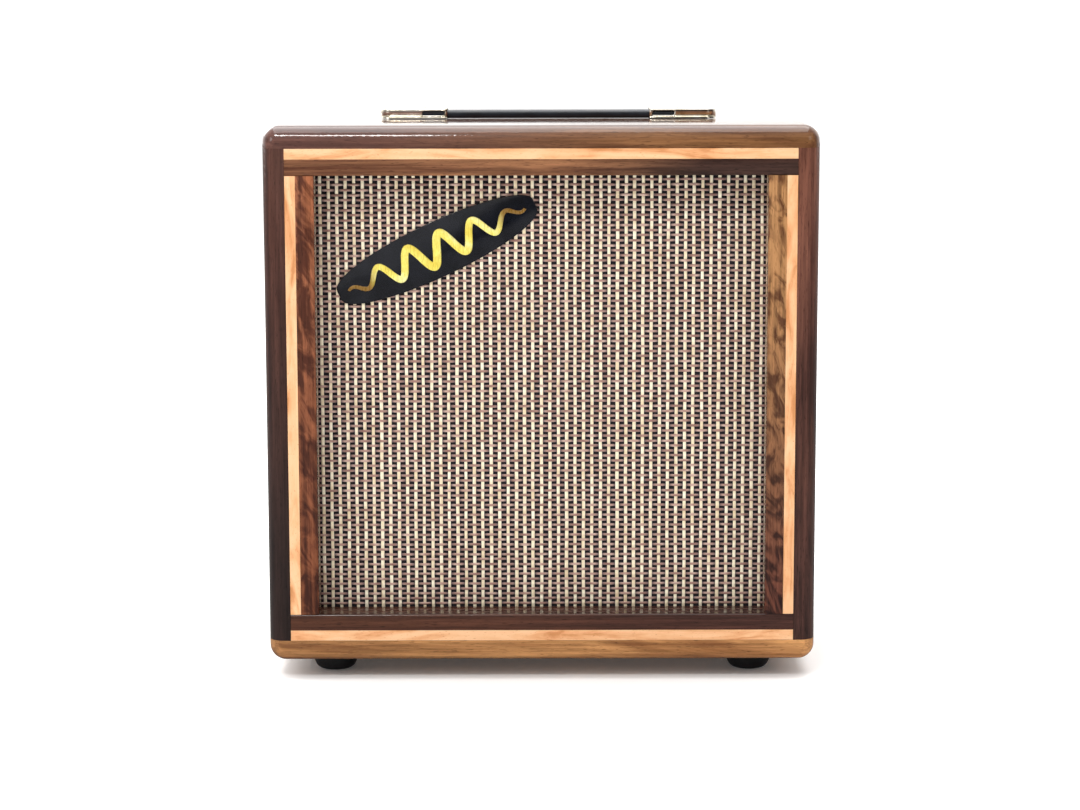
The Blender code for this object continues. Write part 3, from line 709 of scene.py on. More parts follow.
def badge():
    """A slanted black plate with a raised gold wave packet, with a painted reflection darkening it to bronze
    towards its ends.
    """
    low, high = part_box("badge_plate")
    middle = (low + high) / 2
    tilt = math.radians(25)
    length, height = 0.166, 0.042
    spots = [math.cos(math.pi * i / 48) for i in range(49)]
    edge = [height / 2 * (0.18 + 0.82 * math.sqrt(max(0.0, 1 - s * s))) for s in spots]
    outline = [(s * length / 2, e) for s, e in zip(spots, edge)]
    outline += [(s * length / 2, -e) for s, e in zip(spots[::-1], edge[::-1])]
    turn = Matrix.Translation(
        (middle.x, high.y, middle.z)
    ) @ Euler((math.pi / 2, -tilt, 0)).to_matrix().to_4x4()
    enamel = moulded(
        "badge_enamel", srgb(9, 12, 21), 0.16, 0.25, 400, 0.03, Coat_Weight=0.6, Coat_Roughness=0.08
    )
    piece(
        "badge_base", prism_bm(outline, high.y - low.y, 0.0005, 3), enamel, replaces=["badge_plate"],
        at=turn
    )

    gold = badge_gold(tilt, middle)
    lift = turn @ Matrix.Translation((0, 0, high.y - low.y))
    count, reach = 260, length / 2 - 0.0085
    spots = [i / count * 2 - 1 for i in range(count + 1)]
    swells = [max(math.cos(s * math.pi / 2), 0.0) for s in spots]
    line = [
        Vector((s * reach, 0.0112 * swell ** 0.7 * math.sin(s * 5.5 * math.pi)))
        for s, swell in zip(spots, swells)
    ]
    bm = new_bm()
    sections = []
    for i, (here, swell) in enumerate(zip(line, swells)):
        way = (line[min(i + 1, count)] - line[max(i - 1, 0)]).normalized()
        out = Vector((-way.y, way.x))
        stroke = 0.0012 + 0.0020 * swell
        crown = 0.0009
        points = ((-1, 0), (-0.9, 0.7), (-0.55, 1), (0.55, 1), (0.9, 0.7), (1, 0))
        sections.append([bm.verts.new((*(here + out * a * stroke), b * crown)) for a, b in points])
    for a, b in zip(sections, sections[1:]):
        for k in range(6):
            bm.faces.new((a[k], a[(k + 1) % 6], b[(k + 1) % 6], b[k]))
    bm.faces.new(sections[0])
    bm.faces.new(sections[-1][::-1])
    piece("badge_wave", bm, gold, replaces=["badge_emblem"], at=lift)


def badge_gold(tilt, middle):
    s = Shader("badge_gold")
    shift = (-middle.x * math.cos(tilt) - middle.z * math.sin(tilt), 0, 0)
    run = s.along("X", s.place(turn=(0, tilt, 0), shift=shift))
    lines = s.noise(s.place((900, 900, 120), (0, tilt, 0)), 1, 2)
    marks = s.noise(s.coords, 70, 4, 0.6)
    ends = s.math("ABSOLUTE", run)
    bright = s.ramp(
        s.spread(marks, 0.3, 0.7), (0.0, srgb(236, 212, 84)), (0.6, srgb(246, 232, 116)),
        (1.0, srgb(252, 246, 170))
    )
    # painted reflection: the gold darkens to bronze towards both ends of the wave
    colour = s.mix(s.spread(ends, 0.046, 0.060), bright, srgb(140, 104, 44))
    return s.finish(
        colour, s.spread(lines, 0.3, 0.7, 0.22, 0.36), s.bump(lines, 0.05, 0.0003), Metallic=0.20
    )


# ---------------------------------------------------------------- feet and handle


def feet():
    rubber = moulded("foot_rubber", srgb(26, 26, 28), 0.62, 0.2, 1300, 0.25)
    steel = metal("foot_screw_steel", srgb(150, 150, 150), 0.35)
    for end in ("front", "rear"):
        for side in ("left", "right"):
            node = f"foot_{end}_{side}"
            low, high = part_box(node)
            middle = (low + high) / 2
            tall = high.z - low.z
            profile = rounded(
                [
                    (0.0, 0.0045), (0.0036, 0.0045), (0.0040, 0.0), (0.0118, 0.0), (0.0150, 0.0022),
                    (0.0176, 0.0080), (0.0190, 0.0130), (0.0190, tall), (0.0, tall),
                ],
                0.0018, 4,
            )
            spot = Matrix.Translation((middle.x, middle.y, low.z))
            piece(
                f"rubber_{node}", turned_bm(profile, 56), rubber, replaces=[node],
                at=spot
            )
            washer = [(0.0, 0.0046), (0.0, 0.0034), (0.0016, 0.0031), (0.0030, 0.0040), (0.0034, 0.0046)]
            screw = piece(
                f"screw_{node}", turned_bm(washer[::-1], 24), steel, at=spot
            )
            cut(screw, *cross_cutters(spot @ Matrix.Translation((0, 0, 0.0028)), 0.0015, 0.0005, 0.0010))


def cross_cutters(at, reach, width, depth):
    """Two bars that cut a cross recess."""
    bars = []
    for turn in (0.3, 0.3 + math.pi / 2):
        bm = box_bm((-reach, -width / 2, -depth), (reach, width / 2, depth))
        bmesh.ops.transform(bm, matrix=at @ Matrix.Rotation(turn, 4, "Z"), verts=bm.verts)
        bars.append(bm)
    return bars


def cap_shell(way):
    """A pressed end cap with a base flange: mouth at 0, rounded end at its length along way."""
    low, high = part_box("handle_cap_left" if way < 0 else "handle_cap_right")
    length, wide, tall = high.x - low.x, (high.y - low.y) / 2, high.z - low.z
    sections = []
    count = 30
    for i in range(count + 1):
        x = length * (1 - (1 - i / count) ** 1.6)
        left_over = length - x
        round_end = math.sqrt(max(0.0, 1 - (1 - min(1.0, left_over / 0.0105)) ** 2))
        flare = 0.0007 if x < 0.0022 else 0.0
        half = wide - 0.0012 + flare * 0.6 - 0.0105 * (1 - round_end) * 0.9
        height = tall - 0.0006 + flare * 0.8 - 0.0014 * (1 - round_end) ** 1.5
        sections.append((x, half, height))
    bm = new_bm()
    rings = []
    steps = 9
    for x, half, height in sections:
        curve = min(0.0013, height * 0.6)
        ring = [(half, 0.0012), (half, height - curve)]
        for k in range(1, steps):
            turn = math.pi / 2 * k / steps
            ring.append((half - curve + curve * math.cos(turn), height - curve + curve * math.sin(turn)))
        ring.append((half - curve, height))
        ring += [(0.0, height + 0.00025)] + [(-a, b) for a, b in ring[::-1]]
        rings.append([bm.verts.new((way * x, a, b)) for a, b in ring])
    for a, b in zip(rings, rings[1:]):
        for k in range(len(a) - 1):
            bm.faces.new((a[k], a[k + 1], b[k + 1], b[k]))
    bm.faces.new(rings[-1])
    bmesh.ops.recalc_face_normals(bm, faces=bm.faces)
    mouth = high.x if way < 0 else low.x
    return bm, Vector((mouth, (low.y + high.y) / 2, low.z)), sections


def handle():
    """Two plated caps hold a cored strap, whose ends sit in them."""
    plated = cap_plating()
    for side, way in (("left", -1), ("right", 1)):
        bm, mouth, sections = cap_shell(way)
        node = f"handle_cap_{side}"
        cap = piece(
            f"cap_{side}", bm, plated, replaces=[node], smooth=40,
            at=Matrix.Translation(mouth)
        )
        wall = cap.modifiers.new("wall", "SOLIDIFY")
        wall.thickness = 0.0007
        wall.offset = -1
        with bpy.context.temp_override(object=cap, active_object=cap, selected_objects=[cap]):
            bpy.ops.object.modifier_apply(modifier=wall.name)
        near, far = sorted((mouth.x + way * 0.0022, mouth.x + way * 0.0196))
        cut(cap, box_bm((near, -0.03, mouth.z + 0.0024), (far, 0.03, mouth.z + 0.0062), 0.0013, 4))
        outline = [(way * x, half + 0.0011) for x, half, _ in sections]
        outline[0] = (0.0, sections[1][1] + 0.0011)
        outline += [(way * sections[-1][0], 0.0)] + [(x, -y) for x, y in outline[::-1]]
        base = prism_bm(outline, 0.0012, 0.0004, 2)
        plate = piece(
            f"cap_flange_{side}", base, plated, smooth=40, at=Matrix.Translation(mouth)
        )
        slot = box_bm(
            (mouth.x - 0.046 if way < 0 else mouth.x - 0.001, -0.0099, mouth.z - 0.001),
            (mouth.x + 0.001 if way < 0 else mouth.x + 0.046, 0.0099, mouth.z + 0.003),
        )
        cut(plate, slot)
        for i, offset in enumerate((0.0199, 0.0419)):
            screw_profile = [
                (0.0, 0.0011), (0.0018, 0.00095), (0.0031, 0.0004), (0.0034, 0.0), (0.0034, -0.0004),
                (0.0, -0.0004)
            ]
            spot = Matrix.Translation((mouth.x + way * offset, 0, CAD_BOX[1][2] - 0.0004))
            screw = piece(
                f"cap_screw_{side}_{i}",
                turned_bm(rounded(screw_profile[:4], 0.0004) + screw_profile[4:], 32), plated,
                at=spot
            )
            cut(screw, *cross_cutters(spot @ Matrix.Translation((0, 0, 0.0009)), 0.0017, 0.0006, 0.0009))
    strap_halves()


def strap_halves():
    """The strap, as two halves that run from the middle of the grip to the caps."""
    low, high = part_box("handle_grip")
    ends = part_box("handle_tongue_left")[0].x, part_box("handle_tongue_right")[1].x
    middle_x, half, tall = (low.x + high.x) / 2, (high.y - low.y) / 2, high.z - low.z
    leather = strap_leather()
    for side, end in (("left", ends[0]), ("right", ends[1])):
        bm = new_bm()
        rings = []
        count = 90
        for i in range(count + 1):
            x = middle_x + (end - middle_x) * i / count
            ring = []
            for k in range(28):
                turn = 2 * math.pi * k / 28
                c, s = math.cos(turn), math.sin(turn)
                y = math.copysign(abs(c) ** 0.42, c) * half
                z = math.copysign(abs(s) ** 0.62, s) * tall / 2
                ring.append(bm.verts.new((x, y, low.z + tall / 2 + z)))
            rings.append(ring)
        for a, b in zip(rings, rings[1:]):
            for k in range(28):
                bm.faces.new((a[k], a[(k + 1) % 28], b[(k + 1) % 28], b[k]))
        bm.faces.new(rings[-1])
        nodes = [f"handle_tongue_{side}"] + (["handle_grip"] if side == "left" else [])
        strap = piece(f"strap_{side}", bm, leather, body=None, replaces=nodes, smooth=60)
        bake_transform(strap)


def strap_leather():
    s = Shader("strap_leather")
    grain = s.cells(s.coords, 1500, "SMOOTH_F1")
    drift = s.noise(s.coords, 60, 4, 0.6)
    colour = s.mix(s.spread(drift, 0.35, 0.65), srgb(8, 14, 23), srgb(18, 27, 38))
    return s.finish(colour, s.spread(drift, 0.3, 0.7, 0.34, 0.48), s.bump(grain, 0.25, 0.0003))


def cap_plating():
    s = Shader("cap_plating")
    marks = s.noise(s.coords, 60, 5, 0.65, 0.4)
    fine = s.noise(s.coords, 900, 3, 0.6)
    colour = s.ramp(
        s.spread(marks, 0.3, 0.75), (0.0, srgb(232, 228, 220)), (0.55, srgb(214, 208, 194)),
        (1.0, srgb(176, 166, 142))
    )
    return s.finish(colour, s.spread(marks, 0.3, 0.8, 0.09, 0.20), s.bump(fine, 0.03, 0.0002), Metallic=1.0)


# ---------------------------------------------------------------- rear board and baffle


def bevelled_board(name, node, finish, ease, segments=4):
    low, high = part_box(node)
    return piece(name, box_bm(low, high, ease, segments), finish, replaces=[node], smooth=25)


def screw_bm(radius, dome):
    """A domed screw head with a countersunk skirt, standing on Z 0."""
    profile = [
        (0.0, dome), (radius * 0.55, dome * 0.9), (radius * 0.92, dome * 0.45), (radius, 0.0),
        (radius, -0.0004), (0.0, -0.0004)
    ]
    return turned_bm(rounded(profile, radius * 0.12, 2), 28)


def cross_screw(name, spot, turn, radius, dome, finish, body=CABINET, washer=0.0):
    """A cross-head screw, with an optional cup washer under it."""
    at = placed(spot, turn)
    head = piece(name, screw_bm(radius, dome), finish, body=body, at=at)
    lift = at @ Matrix.Translation((0, 0, dome * 0.9))
    cut(head, *cross_cutters(lift, radius * 0.58, radius * 0.20, dome * 0.85))
    if washer:
        ring = [
            (radius * 0.8, 0.0001), (radius + washer * 0.5, 0.0009), (radius + washer, 0.0004),
            (radius + washer, 0.0), (radius * 0.8, 0.0)
        ]
        piece(f"{name}_cup", turned_bm(rounded(ring, 0.0003, 2), 28), finish, body=body, at=at)
    return head


def baffle_ply():
    """Birch ply with a grained pale face, and pale plies on its cut edges."""
    s = Shader("baffle_ply")
    grain = s.noise(s.place((9, 9, 120)), 1, 4, 0.6, 0.8)
    plies = s.bands(s.place((1, 660, 1)), 0.5, 0.3, "Y", 1)
    face = s.ramp(
        s.spread(grain, 0.3, 0.7), (0.0, srgb(150, 112, 72)), (0.5, srgb(186, 148, 102)),
        (1.0, srgb(206, 172, 126))
    )
    edge = s.mix(plies, srgb(120, 84, 52), srgb(210, 178, 132))
    side = s.math("ABSOLUTE", s.facing("Y"))
    colour = s.mix(s.spread(side, 0.4, 0.7), edge, face)
    return s.finish(colour, s.spread(grain, 0.3, 0.7, 0.55, 0.72), s.bump(grain, 0.2, 0.0004))


def repaint(node, finish):
    """Gives a shown CAD node a finer material."""
    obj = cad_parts[node]
    for holder in obj.material_slots:
        holder.material = finish


def rear_boards():
    finish = walnut("walnut_rear", "X", ((92, 56, 40), (134, 88, 62)), ((80, 48, 36), (126, 82, 58)), 13)
    bevelled_board("rear_board", "back_panel", finish, 0.0016)
    pine = walnut(
        "cleat_wood", "Z", ((150, 112, 72), (196, 156, 108)), ((142, 104, 66), (188, 148, 100)), 15, 0,
        (0.03, 0.2), 40, False
    )
    for side in ("left", "right"):
        bevelled_board(f"rear_cleat_{side}", f"back_cleat_{side}", pine, 0.0010, 3)
    low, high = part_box("back_panel")
    brass = metal("screw_brass", srgb(214, 178, 110), 0.28)
    for side, x in (("left", low.x + 0.0085), ("right", high.x - 0.0085)):
        for i, z in enumerate((low.z + 0.022, (low.z + high.z) / 2, high.z - 0.022)):
            cross_screw(
                f"rear_screw_{side}_{i}", (x, high.y, z), OUT_REAR, 0.0036, 0.0011, brass,
                washer=0.0022
            )
    repaint("baffle_board", baffle_ply())


# ---------------------------------------------------------------- loudspeaker


def speaker_at():
    """A matrix from the speaker's own axis, Z pointing back from its flange, to the row frame."""
    low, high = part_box("speaker_basket")
    return Matrix.Translation(
        ((low.x + high.x) / 2, low.y, (low.z + high.z) / 2)
    ) @ Euler(OUT_REAR).to_matrix().to_4x4()


def basket():
    """A pressed steel frame: rolled flange, deep cup with eight windows, flat seat for the magnet."""
    at = speaker_at()
    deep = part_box("speaker_basket")[1].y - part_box("speaker_basket")[0].y
    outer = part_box("speaker_basket")[1].x
    shell = [
        (outer - 0.0006, 0.0002), (outer, 0.0010), (outer - 0.0004, 0.0023), (0.1215, 0.0024),
        (0.1186, 0.0034),
        (0.1165, 0.0070), (0.1148, 0.0118), (0.1120, 0.0150), (0.0590, 0.0592), (0.0560, 0.0612),
        (0.0535, deep),
        (0.0222, deep), (0.0222, deep - 0.0012), (0.0532, deep - 0.0012), (0.0550, 0.0600),
        (0.0582, 0.0579),
        (0.1106, 0.0142), (0.1134, 0.0112), (0.1150, 0.0066), (0.1160, 0.0020), (0.1170, 0.0002),
    ]
    painted = moulded("basket_paint", srgb(44, 45, 48), 0.34, 0.12, 900, 0.06, Metallic=0.35)
    shown = piece(
        "basket_shell", turned_bm(rounded(shell, 0.0012, 3), 96, True), painted,
        replaces=["speaker_basket"], at=at, smooth=40
    )
    cutters = []
    for i in range(8):
        turn = Matrix.Rotation(2 * math.pi * (i + 0.5) / 8, 4, "Z")
        outline = [
            (0.066, -0.0090), (0.0690, -0.0118), (0.1035, -0.0158), (0.1070, -0.0120), (0.1070, 0.0120),
            (0.1035, 0.0158), (0.0690, 0.0118), (0.066, 0.0090)
        ]
        outline = rounded(outline + outline[:1], 0.003, 4)[:-1]
        slot_bm = prism_bm(outline, 0.060)
        bmesh.ops.transform(
            slot_bm, matrix=at @ turn @ Matrix.Translation((0, 0, 0.006)), verts=slot_bm.verts
        )
        cutters.append(slot_bm)
    cut(shown, *cutters)
    gasket = moulded("cork_gasket", srgb(60, 54, 48), 0.85, 0.3, 900, 0.4)
    ring = [(0.1152, 0.0001), (0.1284, 0.0001), (0.1284, 0.0006), (0.1152, 0.0006)]
    piece(
        "basket_gasket", turned_bm(ring, 96, True), gasket,
        at=at @ Matrix.Translation((0, 0, -0.0003))
    )
    zinc = metal("bolt_zinc", srgb(196, 196, 188), 0.32)
    for i in range(8):
        angle = 2 * math.pi * i / 8
        spot = at @ Matrix.Translation((0.1245 * math.cos(angle), 0.1245 * math.sin(angle), 0.0024))
        bm = turned_bm([(0.0016, 0.0), (0.0042, 0.0), (0.0042, 0.0005), (0.0016, 0.0005)], 24, True)
        nut = bmesh.new()
        hexagon = [
            (0.0036 * math.cos(math.pi * k / 3), 0.0036 * math.sin(math.pi * k / 3)) for k in range(6)
        ]
        nut.free()
        add_bm(bm, prism_bm(hexagon, 0.0026, 0.0004, 2), Matrix.Translation((0, 0, 0.0005)))
        add_bm(
            bm,
            turned_bm(
                [(0.0, 0.0055), (0.0015, 0.0055), (0.0019, 0.0050), (0.0019, 0.0028), (0.0, 0.0028)], 16
            )
        )
        piece(f"basket_bolt_{i}", bm, zinc, at=spot)


def cone():
    """A ribbed paper cone with a felted dust cap, which travels with its coil."""
    at = speaker_at()
    line = []
    for i in range(61):
        t = i / 60
        radius = 0.0986 + (0.0202 - 0.0986) * t
        height = 0.0036 + (0.0512 - 0.0036) * (t ** 0.93)
        ribs = 0.00028 * math.sin(t * 2 * math.pi * 9) * (1 - t) ** 0.3 if t < 0.62 else 0.0
        line.append((radius, height + ribs))
    profile = line + [(r, h + 0.0007) for r, h in line[::-1]]
    s = Shader("cone_pulp")
    fibres = s.noise(s.coords, 420, 5, 0.65, 1.5)
    damp = s.noise(s.coords, 24, 3, 0.5)
    colour = s.mix(s.spread(fibres, 0.35, 0.65), srgb(40, 38, 36), srgb(74, 70, 64))
    colour = s.mix(s.spread(damp, 0.4, 0.7, 0, 0.4), colour, srgb(34, 32, 32))
    pulp = s.finish(colour, s.spread(fibres, 0.3, 0.7, 0.80, 0.94), s.bump(fibres, 0.5, 0.0004))
    piece(
        "cone_shell", turned_bm(profile, 96, True), pulp, "cone_assembly", ["speaker_cone"],
        at=at
    )
    cap = [
        (0.0, 0.0330), (0.0068, 0.0336), (0.0128, 0.0356), (0.0188, 0.0394), (0.0240, 0.0442),
        (0.0262, 0.0466)
    ]
    cap += [(r - 0.0004, h + 0.0006) for r, h in cap[::-1][:-1]] + [(0.0, 0.0336)]
    felt = moulded("cap_felt", srgb(38, 36, 36), 0.9, 0.3, 1500, 0.5, Sheen_Weight=0.3)
    piece(
        "dust_cap", turned_bm(rounded(cap, 0.0006, 2), 56), felt, "cone_assembly", ["speaker_dust_cap"],
        at=at
    )
    coil = [(0.0185, 0.0500), (0.0196, 0.0500)]
    coil += [(0.0196 + (0.00012 if i % 2 else 0.0), 0.0560 + 0.0004 * i) for i in range(40)]
    coil += [(0.0185, 0.0720)]
    s = Shader("coil_wire")
    turns = s.bands(s.coords, 1200, 0, "Y", 0)
    wound = s.spread(s.along("Y"), -0.0176, -0.0170)
    wire = s.mix(turns, srgb(150, 74, 40), srgb(220, 128, 74))
    former = s.mix(turns, srgb(176, 120, 70), srgb(196, 142, 88))
    copper = s.finish(
        s.mix(wound, former, wire), s.spread(turns, 0, 1, 0.3, 0.45), s.bump(turns, 0.4, 0.0003),
        Metallic=0.6
    )
    piece(
        "voice_coil", turned_bm(coil, 64, True), copper, "cone_assembly", ["speaker_voice_coil"],
        at=at
    )


def flexing_ring(name, node, start, end, wave, count, thick, finish):
    """A corrugated ring between the cone and the basket, in twelve sectors."""
    at = speaker_at()
    line = []
    for i in range(count + 1):
        t = i / count
        line.append((start[0] + (end[0] - start[0]) * t, start[1] + (end[1] - start[1]) * t + wave(t)))
    sectors = 12
    for k in range(sectors):
        bm = new_bm()
        rings = []
        steps = 8
        for j in range(steps + 1):
            angle = 2 * math.pi * (k + j / steps) / sectors
            turn = at @ Matrix.Rotation(angle, 4, "Z")
            section = line + [(r, h + thick) for r, h in line[::-1]]
            rings.append([bm.verts.new(turn @ Vector((r, 0, h))) for r, h in section])
        for a, b in zip(rings, rings[1:]):
            for i in range(len(a)):
                bm.faces.new((a[i], a[(i + 1) % len(a)], b[(i + 1) % len(a)], b[i]))
        sector = piece(
            f"{name}_{k:02d}", bm, finish, body=None, replaces=[node] if k == 0 else [],
            smooth=60
        )
        angle = 2 * math.pi * (k + 0.5) / sectors
        turn = at @ Matrix.Rotation(angle, 4, "Z")
        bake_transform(sector)


def suspension():
    s = Shader("surround_cloth")
    weave = s.math("MULTIPLY", s.bands(s.coords, 420, 0, "X", 0), s.bands(s.coords, 420, 0, "Z", 0))
    dope = s.noise(s.coords, 60, 3, 0.5)
    colour = s.mix(s.spread(weave, 0.2, 0.8), srgb(30, 27, 25), srgb(56, 50, 44))
    dark = s.finish(colour, s.spread(dope, 0.3, 0.7, 0.38, 0.7), s.bump(weave, 0.4, 0.0003))
    flexing_ring(
        "surround", "speaker_surround", (0.0984, 0.0040), (0.1150, 0.0032),
        lambda t: -0.0022 * math.sin(math.pi * 2.0 * t) ** 2, 24, 0.0005, dark,
    )
    s = Shader("spider_cloth")
    weave = s.math("MULTIPLY", s.bands(s.coords, 500, 0, "X", 0), s.bands(s.coords, 500, 0, "Z", 0))
    stain = s.noise(s.coords, 50, 3, 0.5)
    colour = s.mix(s.spread(weave, 0.2, 0.8), srgb(150, 98, 44), srgb(206, 154, 84))
    amber = s.finish(colour, s.spread(stain, 0.3, 0.7, 0.55, 0.75), s.bump(weave, 0.4, 0.0003))
    flexing_ring(
        "spider", "speaker_spider", (0.0200, 0.0553), (0.0540, 0.0556),
        lambda t: 0.0009 * math.sin(math.pi * 10 * t), 50, 0.0004, amber,
    )


def magnet():
    """Front plate, ferrite ring and back plate, with a vent in the middle."""
    at = speaker_at()
    low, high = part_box("speaker_magnet")
    base = low.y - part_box("speaker_basket")[0].y
    end = high.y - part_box("speaker_basket")[0].y
    zinc = metal("magnet_plate_zinc", srgb(168, 158, 116), 0.34, None, 0.8, 0.05, srgb(140, 136, 120))
    ferrite = moulded("ferrite", srgb(36, 37, 40), 0.55, 0.25, 700, 0.25)
    plate = [(0.0209, base), (0.0500, base), (0.0500, 0.0679), (0.0209, 0.0679)]
    pieces = [
        (
            "magnet_front_plate", rounded(plate, 0.0005), zinc,
            ["speaker_magnet"]
        )
    ]
    ring = rounded(
        [
            (0.0270, 0.0680), (0.0600, 0.0680), (0.0620, 0.0692), (0.0620, 0.0858), (0.0600, 0.0870),
            (0.0270, 0.0870)
        ],
        0.0007
    )
    pieces.append(("magnet_ring", ring, ferrite, []))
    back = rounded(
        [
            (0.0060, 0.0871), (0.0550, 0.0871), (0.0560, 0.0880), (0.0560, end - 0.0010), (0.0545, end),
            (0.0090, end), (0.0070, end - 0.0012), (0.0060, end - 0.004)
        ],
        0.0006,
    )
    pieces.append(("magnet_back_plate", back, zinc, []))
    for name, profile, finish, nodes in pieces:
        piece(name, turned_bm(profile, 80, True), finish, replaces=nodes, at=at)
    pole = [(0.0, 0.0640), (0.0172, 0.0640), (0.0178, 0.0646), (0.0178, 0.0872), (0.0, 0.0872)]
    piece("magnet_pole", turned_bm(pole, 48), zinc, at=at)
    glue = moulded("magnet_glue", srgb(70, 30, 24), 0.25, 0.3, 300, 0.3)
    beads = {
        "front": [(0.0499, 0.0680 - 0.0009), (0.0512, 0.0680 - 0.0001), (0.0499, 0.0680 - 0.0001)],
        "back": [(0.0559, 0.0871 + 0.0009), (0.0572, 0.0871), (0.0559, 0.0871)],
    }
    for name, bead in beads.items():
        piece(f"magnet_glue_{name}", turned_bm(bead, 64, True), glue, at=at)
    label = moulded("rating_paper", srgb(222, 214, 190), 0.75, 0.06, 500, 0.1)
    bm = prism_bm([(-0.021, -0.011), (0.021, -0.011), (0.021, 0.011), (-0.021, 0.011)], 0.00015)
    piece("magnet_label", bm, label, at=at @ Matrix.Translation((0, 0.0300, end)))


def speaker_terminals():
    """A tag strip on the basket's rib, with two tinned tags."""
    fibre = moulded("tag_fibre", srgb(150, 70, 46), 0.6, 0.15, 800, 0.2)
    tin = metal("tag_tin", srgb(206, 202, 190), 0.28)
    spot = Vector((0.0445, -0.0262, 0.2500))
    bm = box_bm((-0.0100, -0.0010, -0.0060), (0.0100, 0.0008, 0.0060), 0.0006, 2)
    turn = Matrix.Translation(spot) @ Euler((0.60, 0, 0.45)).to_matrix().to_4x4()
    piece("terminal_strip", bm, fibre, at=turn)
    for i, x in enumerate((-0.0055, 0.0055)):
        bm = box_bm((x - 0.0022, 0.0008, -0.0030), (x + 0.0022, 0.0013, 0.0085), 0.0004, 2)
        add_bm(
            bm, turned_bm([(0.0, 0.0012), (0.0012, 0.0010), (0.0016, 0.0), (0.0, 0.0)], 20),
            placed((x, 0.0013, -0.0006), OUT_REAR)
        )
        piece(f"terminal_tag_{i}", bm, tin, at=turn)


# ---------------------------------------------------------------- chassis


ZINC = metal("zinc_sheet", srgb(190, 190, 182), 0.34, "X", 0.7, 0.05, srgb(158, 156, 146))
NICKEL = metal("bright_nickel", srgb(222, 216, 202), 0.12, None, 0.8, 0.03)
STEEL = metal("screw_steel", srgb(178, 178, 176), 0.26)
BAKELITE = moulded("bakelite", srgb(28, 24, 22), 0.26, 0.3, 600, 0.08)


def chassis_screws():
    """The tray's own node keeps its shape, with a finer finish and its fixings added."""
    repaint("chassis_tray", ZINC)
    low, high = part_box("chassis_tray")
    lip = 0.0016
    for i, y in enumerate((low.y + 0.020, (low.y + high.y) / 2, high.y - 0.020)):
        for side, x in (("left", low.x), ("right", high.x)):
            way = -1 if side == "left" else 1
            flange = box_bm(
                (min(x, x + way * 0.014), y - 0.010, high.z - lip),
                (max(x, x + way * 0.014), y + 0.010, high.z - 0.0001),
                0.0008, 2,
            )
            piece(f"tray_ear_{side}_{i}", flange, ZINC)
            cross_screw(
                f"tray_screw_{side}_{i}", (x + way * 0.0078, y, high.z - lip), (math.pi, 0, 0.2 * i),
                0.0038, 0.0022,
                STEEL,
            )


def panel_finish():
    """Brushed plate."""
    s = Shader("panel_brushed")
    lines = s.noise(s.place((40, 2600, 2600)), 1, 2, 0.5)
    marks = s.noise(s.coords, 30, 4, 0.6, 0.5)
    colour = s.mix(s.spread(marks, 0.35, 0.7), srgb(214, 208, 192), srgb(190, 182, 164))
    rough = s.math("ADD", s.spread(lines, 0.3, 0.7, 0.24, 0.38), s.spread(marks, 0.4, 0.8, 0, 0.08))
    return s.finish(colour, rough, s.bump(lines, 0.02, 0.0001), Metallic=1.0)


def panel_marks():
    """Paint-filled scales: a tick at each of eleven places round a knob, and a rule round the panel."""
    low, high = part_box("control_panel")
    repaint("control_panel", panel_finish())
    paint = moulded("mark_paint", srgb(24, 24, 26), 0.5, 0.2, 700, 0.08)
    y = high.y
    bm = new_bm()

    def bar(x, z, length, width, angle):
        other = box_bm((-length / 2, -width / 2, 0), (length / 2, width / 2, 0.00018))
        add_bm(
            bm, other,
            placed((x, y - 0.00004, z), OUT_REAR) @ Matrix.Rotation(angle, 4, "Z")
        )

    for knob in ("volume_knob", "tone_knob"):
        a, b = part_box(f"{knob.split('_')[0]}_pot")
        x, z = (a.x + b.x) / 2, (a.z + b.z) / 2
        for i in range(11):
            angle = math.radians(240 - 30 * i)
            inner, long = 0.0178, 0.0030 if i % 5 else 0.0042
            middle = inner + long / 2
            bar(x - middle * math.cos(angle), z + middle * math.sin(angle), long, 0.0005, angle)
    edge = 0.0022
    width = high.x - low.x - 2 * edge
    tall = high.z - low.z - 2 * edge
    middle = (low + high) / 2
    for way in (-1, 1):
        bar(middle.x, middle.z + way * tall / 2, width, 0.0005, 0)
        bar(middle.x + way * width / 2, middle.z, tall, 0.0005, math.pi / 2)
    piece("panel_scales", bm, paint)
    for i, x in enumerate((low.x + 0.0062, high.x - 0.0062)):
        for j, z in enumerate((low.z + 0.0068, high.z - 0.0068)):
            cross_screw(f"panel_screw_{i}{j}", (x, y, z), OUT_REAR, 0.0026, 0.0012, STEEL)


def hex_nut(name, at, flat, thick, bore, finish, body=CABINET):
    """A hexagon cut from a chamfered disc."""
    corner = flat / math.cos(math.pi / 6)
    profile = rounded(
        [
            (bore, 0.0), (corner - 0.0003, 0.0), (corner, 0.0003), (corner, thick - 0.0006),
            (corner - 0.0009, thick), (bore, thick)
        ],
        0.0002, 2
    )
    nut = piece(name, turned_bm(profile, 60, True), finish, body=body, at=at, smooth=30)
    cutters = []
    for k in range(6):
        bm = box_bm((flat, -corner, -0.001), (flat + corner, corner, thick + 0.001))
        bmesh.ops.transform(bm, matrix=at @ Matrix.Rotation(math.pi * k / 3, 4, "Z"), verts=bm.verts)
        cutters.append(bm)
    cut(nut, *cutters)
    return nut


def threaded_bm(outer, inner, low, high, pitch=0.0007):
    """A threaded bush with a bore: turned grooves between two heights."""
    count = max(2, int((high - low) / pitch))
    step = (high - low) / count
    profile = [(inner, low), (outer - 0.0002, low)]
    for i in range(count):
        profile += [
            (outer, low + step * (i + 0.25)), (outer, low + step * (i + 0.5)),
            (outer - 0.0003, low + step * (i + 0.85))
        ]
    profile += [(outer - 0.0005, high), (inner, high)]
    return turned_bm(profile, 40, True)


